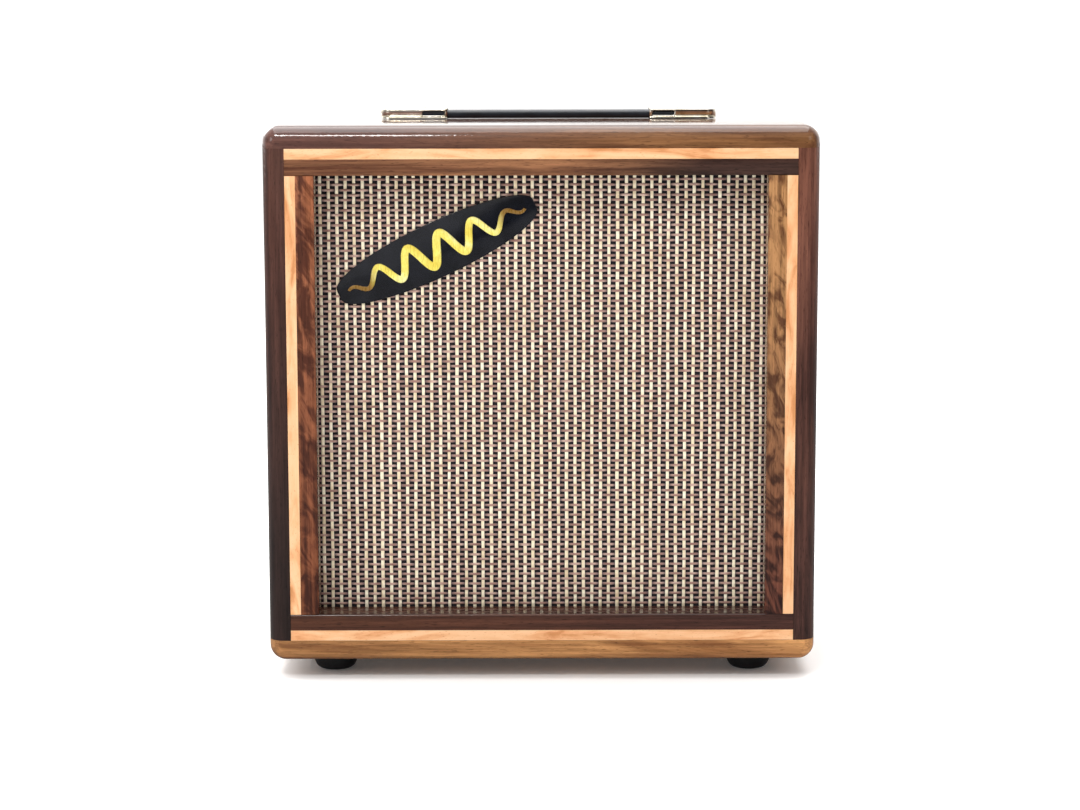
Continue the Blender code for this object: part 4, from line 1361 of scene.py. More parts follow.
def control_at(node):
    """The control's axis on the panel, Z pointing out of the rear. Height 0 is the tray's rear face."""
    low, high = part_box(node)
    return placed(((low.x + high.x) / 2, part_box("chassis_tray")[1].y, (low.z + high.z) / 2), OUT_REAR)


PANEL_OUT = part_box("control_panel")[1].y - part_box("chassis_tray")[1].y


def pots_and_knobs():
    cream = moulded(
        "knob_cream", srgb(196, 174, 128), 0.30, 0.06, 700, 0.05, Coat_Weight=0.3, Coat_Roughness=0.2
    )
    line = moulded("pointer_line", srgb(60, 34, 26), 0.4, 0.2, 700, 0.05)
    for name in ("volume", "tone"):
        at = control_at(f"{name}_pot")
        can = [
            (0.0036, -0.0120), (0.0108, -0.0120), (0.0119, -0.0109), (0.0119, -0.0040), (0.0115, -0.0036),
            (0.0115, -0.0019), (0.0036, -0.0019),
        ]
        piece(
            f"{name}_can", turned_bm(rounded(can, 0.0005), 56, True), STEEL, replaces=[f"{name}_pot"],
            at=at
        )
        piece(
            f"{name}_bush", threaded_bm(0.0046, 0.0033, -0.0018, 0.0058), NICKEL,
            at=at
        )
        hex_nut(
            f"{name}_nut", at @ Matrix.Translation((0, 0, PANEL_OUT + 0.0005)), 0.0062, 0.0021, 0.0047,
            NICKEL
        )
        for k in (-1, 0, 1):
            tag = box_bm(
                (0.0050 * k - 0.0011, 0.0108, -0.0068), (0.0050 * k + 0.0011, 0.0185, -0.0063), 0.0002, 2
            )
            piece(f"{name}_tag_{k + 1}", tag, NICKEL, at=at)
        body = f"{name}_control"
        turn = at @ Matrix.Rotation(math.radians(-30), 4, "Z")
        pointer_knob(name, turn, body, cream, line)


def pointer_knob(name, at, body, cream, line):
    """A pointer knob. Its nose points along +Y of its own frame."""
    skirt = rounded(
        [
            (0.0031, 0.0064), (0.0086, 0.0064), (0.0101, 0.0070), (0.0102, 0.0086), (0.0094, 0.0104),
            (0.0031, 0.0112)
        ],
        0.0005,
    )
    bm = turned_bm(skirt, 64, True)
    piece(
        f"{name}_knob_skirt", bm, cream, body=body, replaces=[f"{name}_knob"], at=at
    )
    outline = [
        (-0.0032, -0.0128), (-0.0056, -0.0062), (-0.0060, 0.0), (-0.0048, 0.0052), (-0.0012, 0.0160),
        (0.0, 0.0166), (0.0012, 0.0160), (0.0048, 0.0052), (0.0060, 0.0), (0.0056, -0.0062),
        (0.0032, -0.0128), (0.0, -0.0132)
    ]
    closed = rounded(outline + outline[:1], 0.0016, 4)[:-1]
    nose = prism_bm(closed, 0.0128, 0.0016, 4)
    turn = at @ Matrix.Translation((0, 0, 0.0082))
    piece(f"{name}_knob_nose", nose, cream, body=body, at=turn, smooth=40)
    mark = box_bm((-0.0004, 0.0030, 0.01279), (0.0004, 0.0152, 0.01292), 0.0001, 1)
    piece(f"{name}_knob_line", mark, line, body=body, at=turn)
    shaft = rounded([(0.0, -0.0098), (0.0029, -0.0098), (0.0030, 0.0080), (0.0, 0.0080)], 0.0003, 2)
    piece(f"{name}_shaft", turned_bm(shaft, 32), NICKEL, body=body, at=at)


def jacks():
    plastic = moulded("jack_housing", srgb(30, 30, 32), 0.4, 0.2, 700, 0.1)
    for name in ("input_jack", "speaker_jack"):
        at = control_at(name)
        piece(
            f"{name}_bush", threaded_bm(0.0046, 0.0032, -0.0020, 0.0062), NICKEL, replaces=[name],
            at=at
        )
        hex_nut(
            f"{name}_nut", at @ Matrix.Translation((0, 0, PANEL_OUT + 0.0005)), 0.0066, 0.0024, 0.0047,
            NICKEL
        )
        washer = rounded([(0.0047, 0.0), (0.0086, 0.0), (0.0086, 0.0004), (0.0047, 0.0004)], 0.0001, 2)
        piece(
            f"{name}_washer", turned_bm(washer, 48, True), NICKEL,
            at=at @ Matrix.Translation((0, 0, PANEL_OUT))
        )
        shell = [
            (0.0033, -0.0220), (0.0070, -0.0220), (0.0077, -0.0210), (0.0077, -0.0021), (0.0033, -0.0021)
        ]
        piece(
            f"{name}_housing", turned_bm(rounded(shell, 0.0004), 40, True), plastic, at=at
        )


def lamp():
    """A faceted ruby jewel in a chromed bezel."""
    at = control_at("pilot_lamp")
    bezel = [
        (0.0060, PANEL_OUT), (0.0093, PANEL_OUT), (0.0094, PANEL_OUT + 0.0012),
        (0.0086, PANEL_OUT + 0.0026),
        (0.0072, PANEL_OUT + 0.0034), (0.0066, PANEL_OUT + 0.0028), (0.0060, PANEL_OUT + 0.0014),
    ]
    piece(
        "lamp_bezel", turned_bm(rounded(bezel, 0.0004), 56, True), NICKEL, replaces=["pilot_lamp"],
        at=at
    )
    holder = [(0.0, -0.0180), (0.0060, -0.0180), (0.0066, -0.0172), (0.0066, PANEL_OUT), (0.0, PANEL_OUT)]
    piece("lamp_holder", turned_bm(rounded(holder, 0.0005), 40), BAKELITE, at=at)
    s = Shader("ruby_jewel")
    depth = s.noise(s.coords, 420, 2, 0.5)
    colour = s.mix(s.spread(depth, 0.3, 0.7), srgb(168, 8, 14), srgb(232, 34, 30))
    ruby = s.finish(
        colour, s.spread(depth, 0.3, 0.7, 0.05, 0.12), s.bump(depth, 0.05, 0.0003),
        Transmission_Weight=0.55, IOR=1.58, Coat_Weight=0.5, Coat_Roughness=0.03
    )
    bm = new_bm()
    rings = []
    for i, (radius, height) in enumerate(
        ((0.0065, 0.0022), (0.0066, 0.0044), (0.0056, 0.0080), (0.0034, 0.0112), (0.0014, 0.0125))
    ):
        rings.append([
            bm.verts.new(
                (
                    radius * math.cos(math.pi * (k + 0.5 * (i % 2)) / 8),
                    radius * math.sin(math.pi * (k + 0.5 * (i % 2)) / 8), height
                )
            )
            for k in range(16)
        ])
    for i, (a, b) in enumerate(zip(rings, rings[1:])):
        for k in range(16):
            j = (k + 1) % 16
            if i % 2:
                bm.faces.new((a[k], a[j], b[j]))
                bm.faces.new((a[k], b[j], b[k]))
            else:
                bm.faces.new((a[k], a[j], b[k]))
                bm.faces.new((a[j], b[j], b[k]))
    bm.faces.new(rings[-1])
    bm.faces.new(rings[0][::-1])
    piece("lamp_jewel", bm, ruby, at=at, smooth=0)


def toggle():
    at = control_at("power_switch_body")
    low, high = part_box("power_switch_body")
    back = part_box("chassis_tray")[1].y
    body = box_bm((low.x, low.y, low.z), (high.x, back - 0.0018, high.z), 0.0009, 3)
    piece("switch_case", body, BAKELITE, replaces=["power_switch_body"])
    piece("switch_bush", threaded_bm(0.0058, 0.0043, -0.0016, 0.0085), NICKEL, at=at)
    hex_nut(
        "switch_nut", at @ Matrix.Translation((0, 0, PANEL_OUT + 0.0008)), 0.0076, 0.0022, 0.0059, NICKEL,
    )
    washer = rounded([(0.0059, 0.0), (0.0090, 0.0), (0.0090, 0.0006), (0.0059, 0.0006)], 0.0001, 2)
    piece(
        "switch_washer", turned_bm(washer, 48, True), NICKEL,
        at=at @ Matrix.Translation((0, 0, PANEL_OUT))
    )
    lever = rounded(
        [
            (0.0, -0.0030), (0.0014, -0.0024), (0.0016, 0.0), (0.0017, 0.0060), (0.0024, 0.0140),
            (0.0026, 0.0170), (0.0021, 0.0186), (0.0, 0.0192)
        ],
        0.0010, 4,
    )
    spot = placed(
        (at.translation.x, at.translation.y + 0.0040, at.translation.z), (math.radians(-102), 0, 0)
    )
    piece(
        "switch_lever", turned_bm(lever, 40), NICKEL, body="power_lever", replaces=["power_switch_lever"],
        at=spot
    )
    for i, z in enumerate((-0.0052, 0.0, 0.0052)):
        tag = box_bm(
            (low.x + 0.0040, low.y - 0.0052, (low.z + high.z) / 2 + z - 0.0003),
            (high.x - 0.0040, low.y + 0.0004, (low.z + high.z) / 2 + z + 0.0003), 0.0002, 2
        )
        piece(f"switch_tag_{i}", tag, NICKEL)


def fuse():
    at = control_at("fuse_holder")
    out = PANEL_OUT
    holder = [
        (0.0057, -0.0038), (0.0057, 0.0060), (0.0086, 0.0060), (0.0092, 0.0053), (0.0092, out + 0.0002),
        (0.0066, out + 0.0002),
        (0.0066, -0.0350), (0.0050, -0.0360), (0.0, -0.0360), (0.0, -0.0040),
    ]
    piece(
        "fuse_body", turned_bm(rounded(holder, 0.0005), 48), BAKELITE, replaces=["fuse_holder"],
        at=at
    )
    cap = rounded(
        [
            (0.0, -0.0030), (0.0049, -0.0030), (0.0049, 0.0064), (0.0077, 0.0064), (0.0078, 0.0076),
            (0.0070, 0.0143), (0.0062, 0.0150), (0.0, 0.0150)
        ],
        0.0004, 3,
    )
    shown = piece(
        "fuse_knob", turned_bm(cap, 60), BAKELITE, body="fuse_carrier", replaces=["fuse_cap"],
        at=at
    )
    cutters = [box_bm((-0.011, -0.0008, 0.0131), (0.011, 0.0008, 0.0171))]
    for k in range(18):
        bm = box_bm((0.00735, -0.0004, 0.0080), (0.0090, 0.0004, 0.0160))
        bmesh.ops.transform(
            bm, matrix=Matrix.Rotation(2 * math.pi * (k + 0.5) / 18, 4, "Z"), verts=bm.verts
        )
        cutters.append(bm)
    for bm in cutters:
        bmesh.ops.transform(bm, matrix=at, verts=bm.verts)
    cut(shown, *cutters)


def inlet():
    """A mains inlet: a flanged housing, a shrouded well and three flat pins."""
    low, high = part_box("mains_inlet")
    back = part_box("chassis_tray")[1].y
    middle = (low + high) / 2
    thermoplastic = moulded("inlet_plastic", srgb(26, 26, 27), 0.42, 0.2, 900, 0.14)
    flange = [
        (-0.0250, 0.0), (-0.0150, 0.0125), (0.0150, 0.0125), (0.0250, 0.0), (0.0150, -0.0125),
        (-0.0150, -0.0125)
    ]
    closed = rounded(flange + flange[:1], 0.0030, 5)[:-1]
    spot = placed((middle.x, back + PANEL_OUT + 0.0003, middle.z), OUT_REAR)
    shown = piece(
        "inlet_flange", prism_bm(closed, 0.0027, 0.0007, 3), thermoplastic, replaces=["mains_inlet"],
        at=spot
    )
    shroud = [
        (-0.0134, -0.0099), (0.0134, -0.0099), (0.0134, 0.0060), (0.0092, 0.0099), (-0.0092, 0.0099),
        (-0.0134, 0.0060)
    ]
    shroud = rounded(shroud + shroud[:1], 0.0016, 3)[:-1]
    at = placed((middle.x, low.y, middle.z), OUT_REAR)
    depth = back + 0.0040 - low.y
    housing = piece(
        "inlet_housing", prism_bm([(x, -y) for x, y in shroud], depth, 0.0005, 2), thermoplastic,
        at=at
    )
    well = [
        (-0.0119, -0.0079), (0.0119, -0.0079), (0.0119, 0.0046), (0.0082, 0.0079), (-0.0082, 0.0079),
        (-0.0119, 0.0046)
    ]
    well = rounded(well + well[:1], 0.0012, 3)[:-1]
    for target in (shown, housing):
        bm = prism_bm([(x, -y) for x, y in well], 0.0300)
        bmesh.ops.transform(
            bm, matrix=placed((middle.x, back - 0.0140, middle.z), OUT_REAR), verts=bm.verts
        )
        cut(target, bm)
    for i, (x, z) in enumerate(((-0.0070, -0.0020), (0.0070, -0.0020), (0.0, 0.0022))):
        pin = box_bm((-0.0010, -0.0020, 0), (0.0010, 0.0020, 0.0125), 0.0005, 3)
        piece(
            f"inlet_pin_{i}", pin, NICKEL,
            at=placed((middle.x + x, back - 0.0140, middle.z + z), OUT_REAR)
        )
    for i, x in enumerate((-0.0195, 0.0195)):
        cross_screw(
            f"inlet_screw_{i}", (middle.x + x, back + PANEL_OUT + 0.0029, middle.z), OUT_REAR, 0.0026,
            0.0012, STEEL
        )


# ---------------------------------------------------------------- valves and transformers


def glass():
    s = Shader("valve_glass")
    film = s.noise(s.coords, 70, 4, 0.6)
    tint = s.mix(s.spread(film, 0.3, 0.7), (0.93, 0.96, 0.95, 1), (0.98, 0.99, 0.98, 1))
    return s.finish(
        tint, s.spread(film, 0.35, 0.8, 0.02, 0.09), s.bump(film, 0.02, 0.0004), Transmission_Weight=1.0,
        IOR=1.45
    )


def anode_bm(half, bottom, upper):
    """A flattened plate box with four pressed ribs and a seam down either end."""
    anode = box_bm(
        (-half, -half * 0.62, bottom + 0.0030), (half, half * 0.62, upper - 0.0030), half * 0.42, 4,
        lambda m: abs(abs(m.z - (bottom + upper) / 2)) < 0.002
    )
    for k in range(4):
        z = bottom + 0.0030 + (upper - bottom - 0.0060) * (k + 0.5) / 4
        add_bm(
            anode,
            box_bm(
                (-half * 0.72, -half * 0.66, z - 0.0010), (half * 0.72, half * 0.66, z + 0.0010), 0.0004, 2
            )
        )
    for way in (-1, 1):
        add_bm(
            anode,
            box_bm(
                (way * half - 0.0004, -half * 0.12 - 0.0008, bottom + 0.0026),
                (way * half + 0.0012 * way + 0.0004, half * 0.12 + 0.0008, upper - 0.0026), 0.0003, 2
            )
        )
    return anode


def electrode_wires_bm(half, neck, bottom, upper):
    """Six supports from the stem through the plate, and the ring that held the getter."""
    wires = new_bm()
    for k in range(6):
        turn = 2 * math.pi * k / 6
        x, y = half * 0.7 * math.cos(turn), half * 0.5 * math.sin(turn)
        add_bm(
            wires,
            tube_bm(
                [(x * 0.7, y * 0.7, neck - 0.0010), (x, y, bottom - 0.0030), (x, y, upper + 0.0030)],
                0.00035, 8
            )
        )
    halo = smooth_route(
        [
            (
                0.0045 * math.cos(2 * math.pi * k / 12), 0.0045 * math.sin(2 * math.pi * k / 12),
                upper + 0.0058
            ) for k in range(13)
        ],
        3
    )
    add_bm(wires, tube_bm(halo, 0.0004, 8))
    add_bm(wires, tube_bm([(0.0045, 0, upper + 0.0058), (half * 0.5, 0, upper + 0.0005)], 0.0003, 8))
    return wires


def valve(name, radius, base, plate, pins):
    """A valve hanging from its socket: glass, silvery getter, plate with mica spacers, and its base."""
    low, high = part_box(f"{name}_valve")
    length = high.z - low.z
    at = Matrix.Translation(
        ((low.x + high.x) / 2, (low.y + high.y) / 2, high.z)
    ) @ Matrix.Rotation(math.pi, 4, "X")
    top = length
    neck = base if base > 0.005 else 0.0015
    outer = [
        (radius * 0.84, neck - 0.0030), (radius * 0.88, neck), (radius * 0.985, neck + 0.0060),
        (radius, neck + 0.0110),
        (radius, top - 0.0130), (radius * 0.93, top - 0.0075), (radius * 0.72, top - 0.0042),
        (radius * 0.36, top - 0.0026),
        (radius * 0.10, top - 0.0016), (0.0, top - 0.0002),
    ]
    curve = rounded(outer, 0.0045, 5)
    wall = 0.0009

    def thinner(h, r):
        """The height on the inner side of the glass, which is thicker over the dome."""
        return h - wall * (1.2 if r < radius * 0.8 else 0.0)

    inside = [
        (max(0.0, r - wall) if r > 0.002 else 0.0, thinner(h, r))
        for r, h in curve[::-1] if r > radius * 0.12
    ]
    profile = curve + [(0.0, inside[0][1])] + inside
    piece(
        f"{name}_envelope", turned_bm(profile, 56), GLASS, replaces=[f"{name}_valve"],
        at=at, smooth=60, tidy=True
    )
    half = radius * 0.50
    bottom, upper = neck + 0.0095, top - 0.0165
    anode = anode_bm(half, bottom, upper)
    piece(f"{name}_anode", anode, plate, at=at)
    for k, z in enumerate((bottom, upper)):
        disc = [
            (
                radius * 0.84 * math.cos(math.pi * (i + 0.5) / 12) * (1.0 if i % 2 else 0.94),
                radius * 0.70 * math.sin(math.pi * (i + 0.5) / 12) * (1.0 if i % 2 else 0.9)
            ) for i in range(24)
        ]
        piece(
            f"{name}_mica_{k}", prism_bm(disc, 0.0005), MICA,
            at=at @ Matrix.Translation((0, 0, z))
        )
    piece(f"{name}_wires", electrode_wires_bm(half, neck, bottom, upper), NICKEL, at=at)
    inner = [
        (r - wall - 0.00015, thinner(h, r) - 0.00015)
        for r, h in curve if h > top - 0.0120 and r > radius * 0.16
    ]
    cap = inner + [(0.0, inner[-1][1])] + [(0.0, inner[-1][1] - 0.0001)] + [
        (max(r - 0.0002, 0.0), h - 0.0001) for r, h in inner[::-1]
    ]
    piece(f"{name}_getter", turned_bm(cap, 48), GETTER, at=at, smooth=60)
    if base > 0.005:
        skirt = rounded(
            [
                (0.0, 0.0002), (radius * 0.80, 0.0002), (radius * 0.88, 0.0010),
                (radius * 0.88, base - 0.0030), (radius * 0.92, base - 0.0012),
                (radius * 0.90, base + 0.0008), (radius * 0.80, base + 0.0006), (0.0, base + 0.0004)
            ],
            0.0005
        )
        piece(f"{name}_base", turned_bm(skirt, 56), BAKELITE, at=at)
    bm = new_bm()
    for k in range(pins):
        turn = 2 * math.pi * (k + 0.5) / (pins + (pins == 9))
        ring = radius * (0.52 if base > 0.005 else 0.50)
        add_bm(
            bm,
            turned_bm(
                [(0.0, -0.0015), (0.0008, -0.0010), (0.0010, 0.0), (0.0010, 0.0040), (0.0, 0.0040)], 12
            ),
            Matrix.Translation((ring * math.cos(turn), ring * math.sin(turn), 0))
        )
    piece(f"{name}_pins", bm, NICKEL, at=at)


def socket(name):
    """A moulded socket held under the tray by a plated saddle and two screws."""
    low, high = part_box(f"{name}_socket")
    radius = (high.x - low.x) / 2
    floor_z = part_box("chassis_tray")[0].z
    centre = Vector(((low.x + high.x) / 2, (low.y + high.y) / 2, floor_z))
    at = Matrix.Translation(centre)
    inner = radius - 0.0045
    body = rounded(
        [
            (0.0, 0.0065), (inner - 0.0008, 0.0065), (inner, 0.0057), (inner, -0.0003),
            (inner + 0.0012, -0.0003), (inner + 0.0012, -0.0020), (inner * 0.55, -0.0020),
            (inner * 0.50, -0.0012), (0.0, -0.0012)
        ],
        0.0005
    )
    piece(
        f"{name}_socket_body", turned_bm(body, 48), CERAMIC, replaces=[f"{name}_socket"],
        at=at
    )
    saddle = [
        (
            radius * math.cos(2 * math.pi * k / 40),
            (radius - 0.0022) * math.sin(2 * math.pi * k / 40)
        )
        for k in range(40)
    ]
    bm = prism_bm(saddle, 0.0006, 0.0002, 2)
    ring = piece(
        f"{name}_saddle", bm, NICKEL, at=at @ Matrix.Translation((0, 0, -0.0010))
    )
    cutter = turned_bm([(0.0, -0.01), (inner + 0.0013, -0.01), (inner + 0.0013, 0.01), (0.0, 0.01)], 48)
    bmesh.ops.transform(cutter, matrix=at, verts=cutter.verts)
    cut(ring, cutter)
    for i, way in enumerate((-1, 1)):
        cross_screw(
            f"{name}_socket_screw_{i}", centre + Vector((way * (inner + 0.0030), 0, -0.0010)),
            (math.pi, 0, 0.4 * i), 0.0017, 0.0009, STEEL
        )


def laminations():
    """Stacked core laminations in varnished iron."""
    s = Shader("core_laminations")
    sheets = s.bands(s.coords, 480, 0.4, "Y", 1)
    rust = s.noise(s.coords, 60, 5, 0.65)
    colour = s.mix(sheets, srgb(24, 24, 26), srgb(66, 66, 68))
    colour = s.mix(s.spread(rust, 0.55, 0.8, 0, 0.35), colour, srgb(92, 60, 40))
    return s.finish(colour, s.spread(sheets, 0, 1, 0.34, 0.55), s.bump(sheets, 0.5, 0.0004), Metallic=0.6)


def power_and_output(name, wires):
    """A laminated core clamped between two deep-drawn covers by four bolts, with its leads."""
    low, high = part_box(name)
    middle = (low + high) / 2
    deep = high.y - low.y
    core = box_bm(
        (low.x, middle.y - deep * 0.22, low.z), (high.x, middle.y + deep * 0.22, high.z), 0.0009, 3
    )
    piece(f"{name}_core", core, CORE, replaces=[name])
    for i, way in enumerate((-1, 1)):
        near, far = middle.y + way * deep * 0.22, middle.y + way * deep / 2
        span = sorted((near, far))
        bell = box_bm(
            (low.x + 0.0052, span[0], low.z + 0.0052), (high.x - 0.0052, span[1], high.z - 0.0010), 0.0085,
            7, lambda m, far=far: abs(m.y - far) < 1e-5 or abs(m.y - (span[0] + span[1]) / 2) < 1e-5
        )
        piece(f"{name}_bell_{i}", bell, ENAMEL, smooth=60)
        lip = sorted((near, near + way * 0.0012))
        rim = box_bm(
            (low.x + 0.0012, lip[0], low.z + 0.0012), (high.x - 0.0012, lip[1], high.z - 0.0008), 0.0004, 2
        )
        piece(f"{name}_rim_{i}", rim, ENAMEL)
        for j, (x, z) in enumerate(
            (
                (low.x + 0.0048, low.z + 0.0048), (high.x - 0.0048, low.z + 0.0048),
                (low.x + 0.0048, high.z - 0.0056), (high.x - 0.0048, high.z - 0.0056)
            )
        ):
            at = placed((x, near + way * 0.0012, z), OUT_REAR if way > 0 else OUT_FRONT)
            hex_nut(f"{name}_nut_{i}{j}", at, 0.0030, 0.0024, 0.0012, STEEL)
            stud = [(0.0, 0.0), (0.0013, 0.0), (0.0013, 0.0036), (0.0009, 0.0041), (0.0, 0.0041)]
            piece(f"{name}_stud_{i}{j}", turned_bm(stud, 20), STEEL, at=at)
    for i, (offset, colour) in enumerate(wires):
        start = Vector((middle.x + offset, middle.y + deep * 0.34, high.z - 0.0040))
        route = [
            start, start + Vector((0, 0.0020, 0.0060)), start + Vector((0.001 * i, 0.0, 0.0130)),
            start + Vector((0.002 * i, -0.008, 0.0165))
        ]
        finish = moulded(f"{name}_wire_{i}", colour, 0.42, 0.1, 900, 0.06)
        piece(f"{name}_wire_{i}", tube_bm(smooth_route(route, 6), 0.0011, 10), finish)


GLASS = glass()
MICA = moulded("mica", srgb(206, 200, 182), 0.35, 0.08, 800, 0.1)
GETTER = metal("getter_film", srgb(150, 150, 156), 0.10, None, 1.0, 0.02)
CERAMIC = moulded("socket_ceramic", srgb(216, 208, 190), 0.45, 0.05, 900, 0.12)
CORE = laminations()
ENAMEL = moulded(
    "transformer_enamel", srgb(22, 22, 24), 0.22, 0.25, 420, 0.07, Coat_Weight=0.4, Coat_Roughness=0.12
)
GREY_PLATE = metal("anode_grey", srgb(92, 92, 94), 0.5, "Z", 0.5, 0.08)
BLACK_PLATE = metal("anode_black", srgb(46, 46, 48), 0.55, "Z", 0.5, 0.08)


def inner_fittings():
    """The board, its parts and the lead."""
    board = moulded("tag_board_fibre", srgb(168, 128, 74), 0.62, 0.14, 700, 0.25)
    repaint("circuit_board", board)
    low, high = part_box("circuit_board")
    brass = metal("eyelet_brass", srgb(210, 186, 120), 0.3)
    top = high.z
    resistor = moulded("resistor_body", srgb(190, 150, 100), 0.4, 0.1, 700, 0.08)
    film = moulded("film_capacitor", srgb(204, 112, 34), 0.34, 0.1, 600, 0.08)
    eyelets = new_bm()
    columns = [low.x + 0.014 + 0.0105 * i for i in range(11)]
    for x in columns:
        for y in (low.y + 0.0050, high.y - 0.0050):
            ring = rounded(
                [(0.0009, 0.0), (0.0021, 0.0), (0.0021, 0.0005), (0.0012, 0.0010), (0.0009, 0.0006)],
                0.0002, 2
            )
            add_bm(eyelets, turned_bm(ring, 16, True), Matrix.Translation((x, y, top)))
    piece("board_eyelets", eyelets, brass)
    cap_low, cap_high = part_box("filter_capacitor")
    for i, x in enumerate(columns):
        if cap_low.x - 0.004 < x < cap_high.x + 0.004:
            continue
        big = i % 3 == 0
        length, radius = (0.0150, 0.0034) if big else (0.0095, 0.0019)
        shape = rounded(
            [
                (0.0, -length / 2), (radius * 0.9, -length / 2), (radius, -length / 2 + 0.0008),
                (radius * 0.9, 0.0), (radius, length / 2 - 0.0008), (radius * 0.9, length / 2),
                (0.0, length / 2)
            ],
            0.0005
        )
        middle = Vector((x, (low.y + high.y) / 2, top + 0.0008 + radius))
        part = turned_bm(shape, 24)
        piece(
            f"board_part_{i:02d}", part, film if big else resistor,
            at=placed(middle, OUT_REAR)
        )
        lead = smooth_route(
            [
                (x, low.y + 0.0050, top + 0.0004), (x, low.y + 0.0066, middle.z), (x, middle.y, middle.z),
                (x, high.y - 0.0066, middle.z), (x, high.y - 0.0050, top + 0.0004)
            ],
            4
        )
        piece(f"board_lead_{i:02d}", tube_bm(lead, 0.00035, 8), NICKEL)
    s = Shader("capacitor_sleeve")
    print_band = s.bands(s.coords, 70, 0, "X", 0)
    film_noise = s.noise(s.coords, 60, 3, 0.6)
    colour = s.mix(s.spread(film_noise, 0.3, 0.7), srgb(24, 46, 104), srgb(34, 62, 128))
    colour = s.mix(s.spread(print_band, 0.93, 0.97, 0, 0.8), colour, srgb(196, 204, 214))
    repaint("filter_capacitor", s.finish(colour, 0.32, s.bump(film_noise, 0.05, 0.0004)))
    jacket = Shader("lead_jacket")
    twist = jacket.bands(jacket.coords, 300, 1, "Z", 1)
    repaint(
        "speaker_lead",
        jacket.finish(
            jacket.mix(twist, srgb(20, 20, 21), srgb(36, 36, 38)), jacket.spread(twist, 0, 1, 0.45, 0.6),
            jacket.bump(twist, 0.2, 0.0004)
        ),
    )
    low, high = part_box("speaker_lead")
    grommet = rounded([(0.0023, -0.0012), (0.0046, -0.0012), (0.0050, 0.0), (0.0023, 0.0004)], 0.0005)
    piece(
        "lead_grommet", turned_bm(grommet, 32, True), BAKELITE,
        at=Matrix.Translation((0.0520, -0.0120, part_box("chassis_tray")[0].z - 0.0002))
    )


# ---------------------------------------------------------------- room, light and camera


def floor():
    """A white sweep, dimmed in reflections."""
    s = Shader("studio_floor")
    dust = s.noise(s.coords, 14, 4, 0.6)
    tone = s.mix(s.spread(dust, 0.3, 0.7), (0.97, 0.97, 0.97, 1), (0.99, 0.99, 0.99, 1))
    dimmed = s.mix(s.add("ShaderNodeLightPath").outputs["Is Glossy Ray"], tone, (0.07, 0.068, 0.066, 1))
    finish = s.finish(
        dimmed, 0.8, s.bump(dust, 0.02, 0.001), Emission_Color=(1, 1, 1, 1), Emission_Strength=0.04
    )
    bm = new_bm()
    bmesh.ops.create_grid(bm, x_segments=2, y_segments=2, size=6.0)
    bmesh.ops.translate(bm, vec=(0, 2, 0), verts=bm.verts)
    mesh = bpy.data.meshes.new("studio_floor")
    bm.to_mesh(mesh)
    bm.free()
    mesh.materials.append(finish)
    obj = bpy.data.objects.new("studio_floor", mesh)
    bpy.context.scene.collection.objects.link(obj)
    obj.location.z = CAD_BOX[0][2]


def backdrop_light(tree):
    """The room as the piece sees it: dim in front, more so at the right, and bright overhead and behind."""
    add, link = tree.nodes.new, tree.links.new
    coords, split = add("ShaderNodeTexCoord"), add("ShaderNodeSeparateXYZ")
    link(coords.outputs["Generated"], split.inputs[0])
    behind, above, side = add("ShaderNodeMapRange"), add("ShaderNodeMapRange"), add("ShaderNodeMapRange")
    for node, source, (low, high, to_low, to_high) in (
        (behind, "Y", (-0.1, 0.7, 0.0, 1.3)), (above, "Z", (0.0, 0.9, 0.0, 0.50)),
        (side, "X", (-0.03, 0.03, 0.38, 0.02)),
    ):
        node.interpolation_type = "SMOOTHSTEP"
        link(split.outputs[source], node.inputs["Value"])
        for key, number in zip(("From Min", "From Max", "To Min", "To Max"), (low, high, to_low, to_high)):
            node.inputs[key].default_value = number
    upper, total, lit = add("ShaderNodeMath"), add("ShaderNodeMath"), add("ShaderNodeBackground")
    link(behind.outputs["Result"], upper.inputs[0])
    link(above.outputs["Result"], upper.inputs[1])
    link(upper.outputs[0], total.inputs[0])
    link(side.outputs["Result"], total.inputs[1])
    link(total.outputs[0], lit.inputs["Strength"])
    lit.inputs["Color"].default_value = (1, 0.99, 0.98, 1)
    return lit


def room():
    """White to the camera, and a studio to the piece."""
    world = bpy.data.worlds.new("studio")
    bpy.context.scene.world = world
    world.use_nodes = True
    tree = world.node_tree
    tree.nodes.clear()
    add, link = tree.nodes.new, tree.links.new
    out, shown = add("ShaderNodeOutputWorld"), add("ShaderNodeBackground")
    shown.inputs["Color"].default_value = (1, 1, 1, 1)
    shown.inputs["Strength"].default_value = 1.3
    path, mix = add("ShaderNodeLightPath"), add("ShaderNodeMixShader")
    link(path.outputs["Is Camera Ray"], mix.inputs["Fac"])
    link(backdrop_light(tree).outputs[0], mix.inputs[1])
    link(shown.outputs[0], mix.inputs[2])
    link(mix.outputs[0], out.inputs["Surface"])


def softbox(name, spot, target, size, power, colour=(1, 1, 1)):
    light = bpy.data.lights.new(name, "AREA")
    light.shape = "RECTANGLE"
    light.size, light.size_y = size
    light.energy = power
    light.color = colour
    obj = bpy.data.objects.new(name, light)
    bpy.context.scene.collection.objects.link(obj)
    obj.location = spot
    obj.rotation_euler = (Vector(target) - Vector(spot)).to_track_quat("-Z", "Y").to_euler()
    obj.visible_camera = False


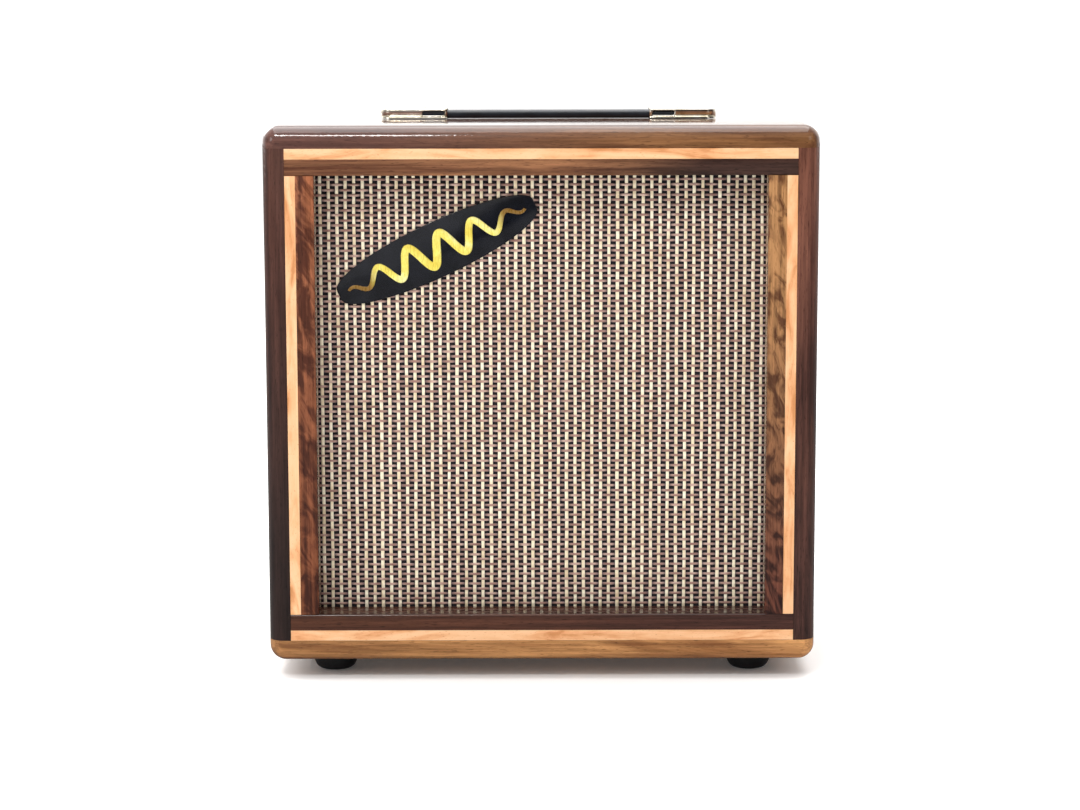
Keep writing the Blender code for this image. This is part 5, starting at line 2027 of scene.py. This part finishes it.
def camera():
    pitch, yaw, roll = math.radians(8.535), math.radians(0.094), math.radians(0.103)
    ahead = Vector((math.sin(yaw) * math.cos(pitch), math.cos(yaw) * math.cos(pitch), -math.sin(pitch)))
    right = Vector((math.cos(yaw), -math.sin(yaw), 0))
    down = ahead.cross(right)
    across = right * math.cos(roll) + down * math.sin(roll)
    under = down * math.cos(roll) - right * math.sin(roll)
    data = bpy.data.cameras.new("photo_camera")
    data.lens, data.sensor_width = 94.0, 36.0
    obj = bpy.data.objects.new("photo_camera", data)
    bpy.context.scene.collection.objects.link(obj)
    frame_matrix = Matrix((across, -under, -ahead)).transposed().to_4x4()
    frame_matrix.translation = Vector((-0.0047, -2.2427, 0.5344))
    obj.matrix_world = frame_matrix
    bpy.context.scene.camera = obj


def studio():
    floor()
    room()
    centre = (0.0, -0.05, 0.22)
    softbox("key_front", (-0.9, -2.3, 2.9), centre, (1.3, 0.35), 48, (1.0, 0.99, 0.98))
    softbox("window_left", (-2.4, -1.7, 1.3), centre, (1.0, 1.0), 11, (1.0, 0.99, 0.98))
    softbox("overhead", (0.0, 0.3, 3.0), centre, (3.0, 3.0), 100)
    softbox("fill_right", (2.3, -2.2, 1.6), centre, (1.2, 1.2), 6, (1.0, 0.97, 0.93))
    softbox("back_left", (-1.8, 2.6, 1.7), centre, (1.5, 1.5), 40)
    camera()
    bpy.context.scene.view_settings.view_transform = "Standard"


cabinet()
inlaid_frame()
grille()
badge()
feet()
handle()
rear_boards()
basket()
cone()
suspension()
magnet()
speaker_terminals()
chassis_screws()
panel_marks()
pots_and_knobs()
jacks()
lamp()
toggle()
fuse()
inlet()
for name in ("preamp", "power", "rectifier"):
    socket(name)
valve("preamp", 0.0110, 0.0030, GREY_PLATE, 9)
valve("power", 0.0165, 0.0140, BLACK_PLATE, 8)
valve("rectifier", 0.0170, 0.0140, BLACK_PLATE, 8)
power_and_output(
    "power_transformer",
    (
        (-0.020, srgb(190, 30, 26)), (-0.012, srgb(30, 30, 30)), (0.004, srgb(214, 196, 40)),
        (0.014, srgb(40, 120, 60))
    )
)
power_and_output("output_transformer", ((-0.008, srgb(40, 70, 160)), (0.006, srgb(150, 90, 40))))
inner_fittings()

studio()
